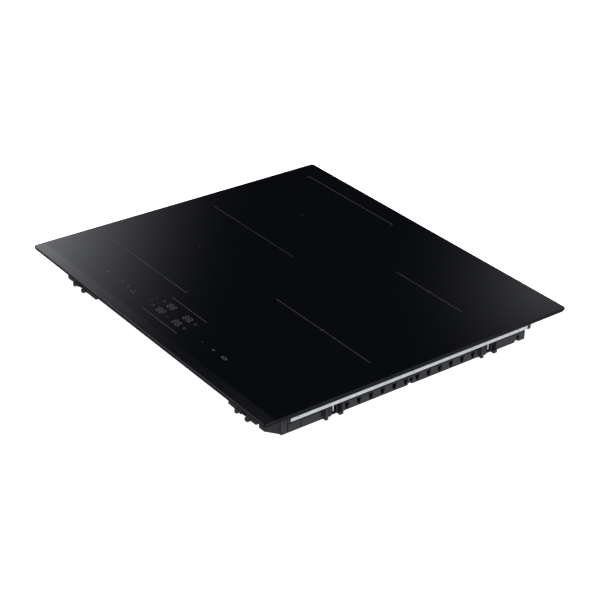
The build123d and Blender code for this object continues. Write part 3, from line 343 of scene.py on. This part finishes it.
@look("black_plastic")
def black_plastic():
    return moulded("black_plastic", (0.013, 0.013, 0.015), (0.020, 0.020, 0.0225), 0.55)


@look("dark_plastic")
def dark_plastic():
    return moulded("dark_plastic", (0.013, 0.013, 0.015), (0.020, 0.020, 0.022), 0.48)


@look("white_plastic")
def white_plastic():
    return moulded("white_plastic", (0.60, 0.59, 0.56), (0.72, 0.71, 0.68), 0.42, 0.015)


@look("rotor_plastic")
def rotor_plastic():
    return moulded("rotor_plastic", (0.020, 0.020, 0.022), (0.032, 0.032, 0.034), 0.35, 0.01)


@look("carrier_plastic")
def carrier_plastic():
    """Glass-filled heat-proof resin: short pale fibres under the skin."""
    made = moulded("carrier_plastic", (0.05, 0.048, 0.045), (0.075, 0.072, 0.067), 0.55)
    fibre = made.noise(1500, 2, 0.5, made.stretched(1, 0.08, 1))
    streak = made.span(fibre, 0.62, 0.72)
    base = made.shader.inputs["Base Color"].links[0].from_socket
    made.colour(made.blend(made.sums("MULTIPLY", streak, 0.5), base, (0.22, 0.21, 0.19)))
    return made


@look("transistor_black")
def transistor_black():
    """Epoxy package with a matt, slightly pitted face."""
    made = Look("transistor_black", (0.018, 0.018, 0.019), 0.45)
    pits = made.noise(5200, 3, 0.6)
    made.colour(made.blend(made.span(pits, 0.3, 0.7), (0.014, 0.014, 0.015), (0.026, 0.026, 0.027)))
    made.roughness(made.span(made.noise(300), 0.3, 0.7, 0.38, 0.55))
    made.bump(pits, 0.02 * MM)
    return made


@look("display_black")
def display_black():
    """Smoked display filter over its light boxes."""
    made = Look("display_black", (0.006, 0.006, 0.007), 0.25)
    haze = made.noise(400, 3)
    made.colour(made.blend(haze, (0.005, 0.005, 0.006), (0.010, 0.010, 0.011)))
    made.roughness(made.span(haze, 0.3, 0.7, 0.2, 0.34))
    made.bump(made.noise(3000), 0.005 * MM)
    return made


# ---------------------------------------------------------------- soft and fibrous
def porous(name, dark, light, scale, depth, roughness=0.9):
    """Foam or rubber with pores of two sizes."""
    made = Look(name, light, roughness)
    pores = made.cells(scale).outputs["Distance"]
    fine = made.noise(scale * 2.5, 3)
    height = made.sums("MULTIPLY", pores, made.span(fine, 0.2, 0.8, 0.6, 1.0))
    made.colour(made.blend(made.span(height, 0.1, 0.6), dark, light))
    made.roughness(made.span(fine, 0.2, 0.8, roughness - 0.08, min(1.0, roughness + 0.06)))
    made.bump(height, depth * MM)
    return made


@look("seal_foam")
def seal_foam():
    return porous("seal_foam", (0.010, 0.010, 0.011), (0.030, 0.030, 0.031), 1400, 0.25)


@look("touch_foam")
def touch_foam():
    return porous("touch_foam", (0.015, 0.015, 0.016), (0.045, 0.045, 0.046), 1900, 0.2)


@look("silicone")
def silicone():
    return porous("silicone", (0.010, 0.010, 0.011), (0.018, 0.018, 0.019), 260, 0.06, 0.42)


@look("sensor_silicone")
def sensor_silicone():
    made = porous("sensor_silicone", (0.42, 0.40, 0.36), (0.55, 0.52, 0.47), 700, 0.02, 0.45)
    made.shader.inputs["Subsurface Weight"].default_value = 0.2
    made.shader.inputs["Subsurface Scale"].default_value = 1.0 * MM
    return made


@look("mica_felt")
def mica_felt():
    """Pressed mineral felt: matted fibres with small bright mica flakes."""
    made = Look("mica_felt", (0.62, 0.60, 0.54), 0.85)
    fibre = made.noise(900, 4, 0.7, made.stretched(1, 0.25, 1))
    weft = made.noise(900, 4, 0.7, made.stretched(0.25, 1, 1))
    mat = made.sums("MAXIMUM", fibre, weft)
    flake = made.span(made.cells(800).outputs["Distance"], 0.16, 0.10)
    felt = made.blend(made.span(mat, 0.4, 0.75), (0.42, 0.40, 0.35), (0.68, 0.66, 0.60))
    made.colour(made.blend(flake, felt, (0.74, 0.72, 0.62)))
    made.roughness(made.sums("SUBTRACT", 0.9, made.sums("MULTIPLY", flake, 0.5)))
    made.bump(mat, 0.2 * MM)
    return made


# ---------------------------------------------------------------- metals
def brushed(name, dark, light, roughness, stretch, scale=700, depth=0.012):
    """Rolled or drawn metal with fine scratches along one direction."""
    made = Look(name, light, roughness, 1.0)
    lines = made.noise(scale, 4, 0.65, made.stretched(*stretch))
    cloud = made.noise(35, 3)
    made.colour(made.blend(made.span(lines, 0.3, 0.7), dark, light))
    rough = made.span(cloud, 0.3, 0.7, roughness - 0.06, roughness + 0.1)
    made.roughness(made.sums("ADD", rough, made.span(lines, 0.2, 0.8, -0.04, 0.04)))
    made.bump(lines, depth * MM)
    return made


@look("galvanised")
def galvanised():
    """Hot-dip zinc: crystalline spangle and a dull bloom."""
    made = Look("galvanised", (0.74, 0.75, 0.77), 0.4, 1.0)
    spangle = made.cells(190)
    tone = made.put("SeparateColor", Color=spangle.outputs["Color"]).outputs[0]
    bloom = made.noise(26, 4, 0.6)
    crystal = made.blend(tone, (0.66, 0.67, 0.69), (0.84, 0.85, 0.87))
    made.colour(made.blend(made.span(bloom, 0.5, 0.8, 0, 0.5), crystal, (0.60, 0.61, 0.63)))
    made.roughness(made.sums("ADD", made.span(tone, 0, 1, 0.30, 0.44), made.span(bloom, 0.4, 0.8, 0, 0.14)))
    made.bump(made.sums("ADD", tone, made.noise(1500, 2)), 0.015 * MM)
    return made


@look("aluminium_sheet")
def aluminium_sheet():
    return brushed("aluminium_sheet", (0.66, 0.67, 0.68), (0.80, 0.81, 0.82), 0.34, (1, 0.02, 1))


@look("aluminium_sink")
def aluminium_sink():
    return brushed("aluminium_sink", (0.58, 0.58, 0.59), (0.74, 0.74, 0.75), 0.42, (1, 0.015, 1), 1100, 0.02)


@look("spring_steel")
def spring_steel():
    return brushed("spring_steel", (0.40, 0.40, 0.42), (0.56, 0.56, 0.58), 0.3, (0.05, 1, 1))


@look("brass")
def brass():
    return brushed("brass", (0.62, 0.45, 0.18), (0.80, 0.62, 0.28), 0.3, (1, 1, 0.1), 900)


@look("zinc_screw")
def zinc_screw():
    """Passivated steel: a faint yellow tint that varies."""
    made = brushed("zinc_screw", (0.52, 0.52, 0.55), (0.70, 0.70, 0.71), 0.34, (1, 1, 0.2), 1300)
    base = made.shader.inputs["Base Color"].links[0].from_socket
    tint = made.span(made.noise(140, 2), 0.4, 0.65, 0, 0.5)
    made.colour(made.blend(tint, base, (0.66, 0.63, 0.50)))
    return made


@look("copper")
def copper():
    """Enamelled litz: hundreds of thin strands twisted along the turn."""
    made = Look("copper", (0.62, 0.26, 0.12), 0.3, 1.0)
    strands = made.noise(2600, 2, 0.5, made.stretched(1, 1, 1.6))
    twist = made.waves(260, "DIAGONAL", distortion=3.0)
    height = made.sums("MULTIPLY", made.sums("ADD", strands, twist), 0.5)
    made.colour(made.blend(made.span(height, 0.25, 0.75), (0.34, 0.12, 0.05), (0.72, 0.34, 0.16)))
    made.roughness(made.span(strands, 0.3, 0.7, 0.24, 0.42))
    made.bump(height, 0.12 * MM)
    return made


@look("ferrite")
def ferrite():
    """Sintered ferrite: slate grey, chalky, with small chips."""
    made = Look("ferrite", (0.05, 0.05, 0.055), 0.6)
    grain = made.noise(2400, 4, 0.6)
    chips = made.span(made.cells(420).outputs["Distance"], 0.13, 0.08)
    base = made.blend(made.span(grain, 0.3, 0.7), (0.035, 0.035, 0.04), (0.07, 0.07, 0.075))
    made.colour(made.blend(chips, base, (0.10, 0.10, 0.11)))
    made.roughness(made.span(grain, 0.3, 0.7, 0.5, 0.72))
    made.bump(made.sums("SUBTRACT", grain, chips), 0.05 * MM)
    return made


# ---------------------------------------------------------------- electronics
@look("circuit_board")
def circuit_board():
    """Solder-masked laminate: copper tracks and bright pads."""
    made = Look("circuit_board", (0.02, 0.13, 0.05), 0.35)
    tracks = made.put("TexBrick", {"offset": 0.37, "squash": 0.7, "squash_frequency": 3}, Vector=made.place)
    for key, value in {"Scale": 60.0, "Mortar Size": 0.055, "Mortar Smooth": 0.2, "Brick Width": 0.9}.items():
        tracks.inputs[key].default_value = value
    line = tracks.outputs["Fac"]
    pads = made.cells(210)
    ring = made.span(pads.outputs["Distance"], 0.20, 0.14)
    chance = made.put("SeparateColor", Color=pads.outputs["Color"]).outputs[0]
    seldom = made.sums("GREATER_THAN", chance, 0.62)
    pad = made.sums("MULTIPLY", ring, seldom)
    mask = made.blend(made.noise(50, 3), (0.010, 0.085, 0.030), (0.018, 0.120, 0.045))
    with_tracks = made.blend(line, mask, (0.030, 0.190, 0.075))
    made.colour(made.blend(pad, with_tracks, (0.62, 0.62, 0.60)))
    made.tree.links.new(made.sums("MULTIPLY", pad, 0.9), made.shader.inputs["Metallic"])
    made.roughness(made.span(made.noise(120, 4), 0.3, 0.7, 0.25, 0.45))
    made.bump(made.sums("ADD", line, pad), 0.04 * MM)
    return made


def boxed_film(name, dark, light):
    """Cast resin box with a satin skin and rounded edges."""
    made = Look(name, light, 0.38)
    made.round_edges(0.4 * MM)
    skin = made.noise(260, 4, 0.6)
    made.colour(made.blend(made.span(skin, 0.3, 0.7), dark, light))
    made.roughness(made.span(skin, 0.3, 0.7, 0.30, 0.48))
    made.bump(skin, 0.06 * MM)
    return made


@look("capacitor_yellow")
def capacitor_yellow():
    return boxed_film("capacitor_yellow", (0.60, 0.40, 0.05), (0.74, 0.52, 0.09))


@look("capacitor_grey")
def capacitor_grey():
    return boxed_film("capacitor_grey", (0.22, 0.23, 0.25), (0.31, 0.32, 0.34))


@look("label_film")
def label_film():
    """Blank silvered polyester label with a fine brushed face."""
    return brushed("label_film", (0.55, 0.56, 0.58), (0.66, 0.67, 0.69), 0.36, (0.03, 1, 1), 900, 0.006)


def dress_cad():
    """Gives every CAD node the material of its record slot."""
    slots = {part["node"]: part["material_slot"] for part in frame["record"]["subparts"]}
    for name, node in nodes.items():
        node.data.materials.clear()
        node.data.materials.append(LOOKS[slots[name]])


# ---------------------------------------------------------------- marks printed on the glass
INK_LOW = TOP - 0.02 * MM
INK_HIGH = TOP + 0.01 * MM
LINE_WIDTH = 0.9 * MM
ZONE_HALF = 105 * MM          # half the printed width of the large round zone
SMALL_ZONE_HALF = 72.5 * MM
BRIDGE_HALF = 106.3 * MM
BRIDGE_DEPTH = 94 * MM        # from a coil's centre to the printed end of the bridge zone
TICK = 5 * MM
CROSS = 3.2 * MM
CONTROL_Y = glass_low.y + 49.5 * MM
UPPER_ROW_Y = CONTROL_Y + 18 * MM
DISPLAY_X = (-21.2 * MM, 19.1 * MM)
FIELD_X = (-44 * MM, 43 * MM)
FIELD_Y = (CONTROL_Y - 16 * MM, CONTROL_Y + 33.5 * MM)
DIGIT_WIDTH = 6.3 * MM
DIGIT_HEIGHT = 10.0 * MM
DIGIT_GAP = 2.2 * MM
SEGMENT = 1.1 * MM
SEGMENT_GAP = 0.62 * SEGMENT  # a bar stops this far short of its neighbour's middle
DOT_RADIUS = 0.9 * MM
DOT_REACH = DIGIT_WIDTH + DIGIT_GAP / 2 + 1.6 * MM
DOT_DROP = DIGIT_HEIGHT * 0.36
DOT_SIDES = 16
PAN_CENTRE_HALF = 2 * MM

HAIR_STROKE = 0.6 * MM
THIN_STROKE = 0.7 * MM
RING_STROKE = 0.8 * MM
KEY_STROKE = 0.9 * MM
BOLD_STROKE = 1.1 * MM
LOCK_X = -162 * MM
TIMER_X = -125.5 * MM
PAUSE_X = -107 * MM
KEEP_WARM_X = -90 * MM
BRIDGE_KEY_X = -55.5 * MM
ZONE_KEY_X = (-40.5 * MM, 38 * MM)
ZONE_KEY_RADIUS = 1.9 * MM
FIELD_DOT_X = -1.3 * MM
FIELD_DOT_DROP = 1.5 * MM
FIELD_DOT_RADIUS = 1.1 * MM
MINUS_X = (80 * MM, 83.6 * MM)
PLUS_X = 108.5 * MM
PLUS_RADIUS = 1.9 * MM
POWER_X = 134 * MM
POWER_ENDS = ((128.4 * MM, 130.2 * MM), (137.8 * MM, 139.6 * MM))
POWER_END_WIDTH = 3.6 * MM
CORNER_DOT_INSET = (32 * MM, 23.4 * MM)


def printed(name, outlines, ink):
    """Thin raised print made of closed outlines."""
    mesh = bmesh.new()
    for outline in outlines:
        slab(mesh, outline, INK_LOW, INK_HIGH)
    piece(name, mesh, LOOKS[ink])


def bridge_zone():
    """Open bracket around the two left coils: end lines with inward ticks."""
    front = ZONES["front_left"]
    rear = ZONES["rear_left"]
    inset = LINE_WIDTH / 2
    strokes = []
    for centre, side in ((front, -1), (rear, 1)):
        y = centre.y + side * BRIDGE_DEPTH
        ends = (centre.x - BRIDGE_HALF, centre.x + BRIDGE_HALF)
        strokes.append(bar((ends[0], y), (ends[1], y), LINE_WIDTH))
        for x in ends:
            inner = (x - math.copysign(inset, x - centre.x), y - side * inset)
            strokes.append(bar(inner, (inner[0], y - side * TICK), LINE_WIDTH))
    return strokes


def centre_tick(centre):
    """Tiny pan-centre mark of a bridge coil."""
    ends = (centre.x - PAN_CENTRE_HALF, centre.x + PAN_CENTRE_HALF)
    return [bar((ends[0], centre.y), (ends[1], centre.y), LINE_WIDTH)]


def round_zone(centre, half):
    """A round zone's diameter line with an upright tick at its middle."""
    inset = LINE_WIDTH / 2
    return [
        bar((centre.x - half, centre.y), (centre.x + half, centre.y), LINE_WIDTH),
        bar((centre.x, centre.y + inset), (centre.x, centre.y + CROSS), LINE_WIDTH),
        bar((centre.x, centre.y - inset), (centre.x, centre.y - CROSS), LINE_WIDTH),
    ]


def print_zones():
    """Lines of the two round zones and of the long bridge zone."""
    large = round_zone(ZONES["front_right"], ZONE_HALF)
    small = round_zone(ZONES["rear_right"], SMALL_ZONE_HALF)
    printed("zone_marks", bridge_zone() + large + small, "print_line")
    printed("pan_centres", centre_tick(ZONES["front_left"]) + centre_tick(ZONES["rear_left"]), "print_line")
    divide = (ZONES["front_left"].y + ZONES["rear_left"].y) / 2
    x = ZONES["front_left"].x
    divider = bar((x - BRIDGE_HALF, divide), (x + BRIDGE_HALF, divide), LINE_WIDTH)
    printed("bridge_divider", [divider], "print_faint")


def segment_strokes(x, y):
    """All seven bars of one digit, centred on x, y, with small gaps between them."""
    half_w = (DIGIT_WIDTH - SEGMENT) / 2
    half_h = (DIGIT_HEIGHT - SEGMENT) / 2
    ends = (x - half_w + SEGMENT_GAP, x + half_w - SEGMENT_GAP)
    strokes = []
    for level in (-half_h, 0, half_h):
        strokes.append(bar((ends[0], y + level), (ends[1], y + level), SEGMENT))
    for side in (-half_w, half_w):
        for low, high in ((-half_h, 0), (0, half_h)):
            upright = ((x + side, y + low + SEGMENT_GAP), (x + side, y + high - SEGMENT_GAP))
            strokes.append(bar(*upright, SEGMENT))
    return strokes


def print_displays():
    """Four two-digit displays, each with its zone dot on the outer side."""
    for column, x in zip(("left", "right"), DISPLAY_X):
        for row, y in (("front", CONTROL_Y), ("rear", UPPER_ROW_Y)):
            strokes = []
            for side in (-1, 1):
                strokes += segment_strokes(x + side * (DIGIT_WIDTH + DIGIT_GAP) / 2, y)
            outer = -1 if column == "left" else 1
            strokes.append(disc(x + outer * DOT_REACH, y - outer * DOT_DROP, DOT_RADIUS, DOT_SIDES))
            printed(f"display_{row}_{column}", strokes, "print_digit")
    field = [bar((FIELD_X[0], y), (FIELD_X[1], y), LINE_WIDTH) for y in FIELD_Y]
    printed("display_field", field, "print_line")


def icon_lock(x, y):
    """Padlock: a filled body under a shackle."""
    half = 2.4 * MM
    low = y - 3 * MM
    body = [(x - half, low), (x + half, low), (x + half, y), (x - half, y)]
    return [body, arc(x, y + 0.6 * MM, 1.6 * MM, THIN_STROKE, 0, 180)]


def ring(x, y, radius, width):
    """Outlines of a full ring, in two halves."""
    return [arc(x, y, radius, width, 0, 180), arc(x, y, radius, width, 180, 360)]


def icon_timer(x, y):
    """Clock face with two hands."""
    minutes = bar((x, y), (x, y + 2 * MM), HAIR_STROKE)
    hours = bar((x + HAIR_STROKE / 2, y), (x + 1.7 * MM, y), HAIR_STROKE)
    return ring(x, y, 3 * MM, THIN_STROKE) + [minutes, hours]


def icon_pause(x, y):
    """Two upright bars."""
    half_high = 2.6 * MM
    sides = (x - 1.4 * MM, x + 1.4 * MM)
    return [bar((side, y - half_high), (side, y + half_high), BOLD_STROKE) for side in sides]


def icon_keep_warm(x, y):
    """A dot above a plate line."""
    plate_y = y - 4.4 * MM
    plate_half = 6.4 * MM
    plate = bar((x - plate_half, plate_y), (x + plate_half, plate_y), BOLD_STROKE)
    return [disc(x, y + 1.6 * MM, 1.7 * MM), plate]


def icon_bridge(x, y):
    """Open hook with a dot, for joining the two left zones."""
    stem_low = y + 3.4 * MM
    bend = 2 * MM
    stem = bar((x, stem_low), (x, y + 12 * MM), KEY_STROKE)
    return [stem, arc(x + bend, stem_low, bend, KEY_STROKE, 180, 270), disc(x, y + 15 * MM, 1.5 * MM)]


def icon_power(x, y):
    """Stand-by symbol: an open ring with an upright bar."""
    upright = bar((x, y + 0.6 * MM), (x, y + 3.6 * MM), KEY_STROKE)
    return [arc(x, y, 2.6 * MM, KEY_STROKE, 125, 415), upright]


def print_controls():
    """Touch symbols along the front: all generic pictograms, no lettering."""
    y = CONTROL_Y
    places = {
        "key_lock": icon_lock(LOCK_X, y),
        "key_timer": icon_timer(TIMER_X, y),
        "key_pause": icon_pause(PAUSE_X, y),
        "key_keep_warm": icon_keep_warm(KEEP_WARM_X, y),
    }
    for name, strokes in places.items():
        printed(name, strokes, "print_line")
    printed("key_bridge", icon_bridge(BRIDGE_KEY_X, y), "print_faint")
    rings = []
    for x in ZONE_KEY_X:
        for row in (y, UPPER_ROW_Y):
            rings += ring(x, row, ZONE_KEY_RADIUS, RING_STROKE)
    printed("zone_keys", rings, "print_line")
    printed("display_dot", [disc(FIELD_DOT_X, y - FIELD_DOT_DROP, FIELD_DOT_RADIUS)], "print_line")
    printed("minus_key", [bar((MINUS_X[0], y), (MINUS_X[1], y), KEY_STROKE)], "print_line")
    printed("plus_key", [disc(PLUS_X, y, PLUS_RADIUS)], "print_line")
    near_end, far_end = [bar((low, y), (high, y), POWER_END_WIDTH) for low, high in POWER_ENDS]
    printed("power_key", icon_power(POWER_X, y) + [near_end], "print_key")
    printed("power_key_ends", [far_end], "print_key")
    corner = (glass_high.x - CORNER_DOT_INSET[0], glass_high.y - CORNER_DOT_INSET[1])
    printed("corner_dot", [disc(*corner, DOT_RADIUS)], "print_line")


# ---------------------------------------------------------------- blank plate on the underside
PLATE_X = (100 * MM, 164 * MM)
PLATE_Y = (-112 * MM, -62 * MM)
PLATE_Z = (0.58 * MM, 0.69 * MM)    # inside one of the case's shallow floor recesses
PLATE_CORNER = 3 * MM


def blank_plate():
    """Silvered plate without any lettering."""
    mesh = bmesh.new()
    slab(mesh, rounded_plate(PLATE_X, PLATE_Y, PLATE_CORNER), *PLATE_Z)
    piece("blank_plate", mesh, LOOKS["label_film"])


# ---------------------------------------------------------------- stage, light and camera
FLOOR_HALF = 30
FLOOR_LIFT = 0.86           # emission that keeps the paper nearly white in the contact shadow
PAPER_DARK = (0.895, 0.895, 0.895)
PAPER_LIGHT = (0.905, 0.905, 0.905)
PAPER_SPECULAR = 0.1

# Soft panels in a dark studio: azimuth, elevation, radius in degrees, radiance at the middle, most radiance.
PANELS = (
    (70.65, 24.04, 15.2, 11.6, 2.6),
    (42.67, 27.88, 6.48, 0.541, 0.541),
    (145.0, 26.0, 24.0, 1.2, 0.6),
    (215.0, 24.0, 20.0, 1.0, 0.5),
    (290.0, 27.0, 24.0, 1.2, 0.6),
    (345.0, 24.0, 18.0, 0.9, 0.5),
)
PANEL_FALLOFF = 3.0
TINT = (0.93, 0.945, 1.0, 1)
DARK = 0.004
HORIZON = 0.95
HORIZON_TOP = 7.0           # elevation, in degrees, where the pale horizon begins to fade
HORIZON_FADE = 8.0          # and over how many degrees it fades
OVERHEAD = 0.673
OVERHEAD_START = 33.0       # elevation where the overhead glow begins
OVERHEAD_FADE = 30.0
GROUND_FADE = 4.0           # degrees below the horizon until the sweep is full
GROUND_AZIMUTH = 300.0      # the sweep below the horizon is brightest this way
GROUND_LEVEL = 0.55
GROUND_SWING = 0.35

# Name, azimuth and elevation in degrees, strength, apparent size in degrees.
SUNS = (
    ("overhead_light", 90, 78, 2.2, 70),
    ("key_light", 226, 25, 2.2, 40),
)

CAMERA_PLACE = (1.6472, -1.2416, TOP + 1.1089)
CAMERA_AIM = (52.66, -29.12)    # azimuth and elevation of the line of sight, in degrees
CAMERA_ROLL = 1.26
LENS = 97.37                # millimetres, as is the sensor's width
SENSOR_WIDTH = 36.0
CLIP_END = 100


def floor():
    """Pale paper that lights nothing and shows in no reflection."""
    mesh = bmesh.new()
    bmesh.ops.create_grid(mesh, x_segments=1, y_segments=1, size=FLOOR_HALF)
    data = bpy.data.meshes.new("floor")
    mesh.to_mesh(data)
    mesh.free()
    made = Look("floor_paper", (0.9, 0.9, 0.9), 0.9)
    made.shader.inputs["Specular IOR Level"].default_value = PAPER_SPECULAR
    made.shader.inputs["Emission Color"].default_value = (1, 1, 1, 1)
    made.shader.inputs["Emission Strength"].default_value = FLOOR_LIFT
    made.colour(made.blend(made.noise(3, 2), PAPER_DARK, PAPER_LIGHT))
    data.materials.append(made.material)
    ground = bpy.data.objects.new("floor", data)
    bpy.context.scene.collection.objects.link(ground)
    ground.visible_diffuse = False
    ground.visible_glossy = False


def direction(azimuth, elevation):
    """Unit vector at an azimuth, from +Y towards -X, and an elevation, in degrees."""
    turn = math.radians(azimuth)
    lift = math.radians(elevation)
    return Vector((-math.sin(turn) * math.cos(lift), math.cos(turn) * math.cos(lift), math.sin(lift)))


def studio():
    """World light by direction: pale horizon, dark mid height with soft panels, a soft overhead glow."""
    world = bpy.data.worlds.new("studio")
    world.use_nodes = True
    bpy.context.scene.world = world
    tree = world.node_tree
    ray = tree.nodes.new("ShaderNodeTexCoord").outputs["Generated"]

    def step(operation, a, b=0.0, clamp=False):
        node = tree.nodes.new("ShaderNodeMath")
        node.operation = operation
        node.use_clamp = clamp
        for socket, value in zip(node.inputs, (a, b)):
            if isinstance(value, bpy.types.NodeSocket):
                tree.links.new(value, socket)
            else:
                socket.default_value = value
        return node.outputs[0]

    def toward(azimuth, elevation):
        """Cosine of the angle between the ray and a direction."""
        node = tree.nodes.new("ShaderNodeVectorMath")
        node.operation = "DOT_PRODUCT"
        node.inputs[1].default_value = direction(azimuth, elevation)
        tree.links.new(ray, node.inputs[0])
        return node.outputs["Value"]

    split = tree.nodes.new("ShaderNodeSeparateXYZ")
    tree.links.new(ray, split.inputs[0])
    lift = step("MULTIPLY", step("ARCSINE", split.outputs["Z"]), 180 / math.pi)
    above = step("DIVIDE", step("SUBTRACT", lift, HORIZON_TOP), HORIZON_FADE, True)
    total = step("MULTIPLY", step("SUBTRACT", 1.0, above), HORIZON)
    glow = step("DIVIDE", step("SUBTRACT", lift, OVERHEAD_START), OVERHEAD_FADE, True)
    total = step("ADD", total, step("MULTIPLY", glow, OVERHEAD))
    total = step("ADD", total, DARK)
    for azimuth, elevation, radius, radiance, most in PANELS:
        away = step("MULTIPLY", step("ARCCOSINE", toward(azimuth, elevation)), 180 / math.pi / radius)
        fade = step("POWER", step("SUBTRACT", 1.0, away, True), PANEL_FALLOFF)
        total = step("ADD", total, step("MINIMUM", step("MULTIPLY", fade, radiance), most))
    below = step("SUBTRACT", 0.0, step("DIVIDE", lift, GROUND_FADE), True)
    swing = step("MULTIPLY", toward(GROUND_AZIMUTH, 0), GROUND_SWING)
    ground = step("ADD", swing, GROUND_LEVEL)
    sky = step("MULTIPLY", total, step("SUBTRACT", 1.0, below))
    total = step("ADD", sky, step("MULTIPLY", ground, below))
    background = tree.nodes["Background"]
    background.inputs["Color"].default_value = TINT
    tree.links.new(total, background.inputs["Strength"])


def sun(name, azimuth, elevation, strength, spread):
    """Very large soft light from one direction; it lights, but shows in no reflection."""
    light = bpy.data.lights.new(name, "SUN")
    light.energy = strength
    light.angle = math.radians(spread)
    made = bpy.data.objects.new(name, light)
    made.rotation_mode = "QUATERNION"
    made.rotation_quaternion = (-direction(azimuth, elevation)).to_track_quat("-Z", "Y")
    made.visible_glossy = False
    bpy.context.scene.collection.objects.link(made)


def camera():
    """Long lens from the front right, looking down about 29 degrees, with a slight roll."""
    lens = bpy.data.cameras.new("camera")
    lens.sensor_width = SENSOR_WIDTH
    lens.lens = LENS
    lens.clip_end = CLIP_END
    made = bpy.data.objects.new("camera", lens)
    made.location = CAMERA_PLACE
    made.rotation_mode = "QUATERNION"
    roll = Quaternion((0, 0, 1), math.radians(CAMERA_ROLL))
    made.rotation_quaternion = direction(*CAMERA_AIM).to_track_quat("-Z", "Y") @ roll
    bpy.context.scene.collection.objects.link(made)
    bpy.context.scene.camera = made


# ---------------------------------------------------------------- assembly
dress_cad()
print_zones()
print_displays()
print_controls()
blank_plate()
floor()
studio()
for settings in SUNS:
    sun(*settings)
camera()
bpy.context.scene.view_settings.view_transform = "Standard"
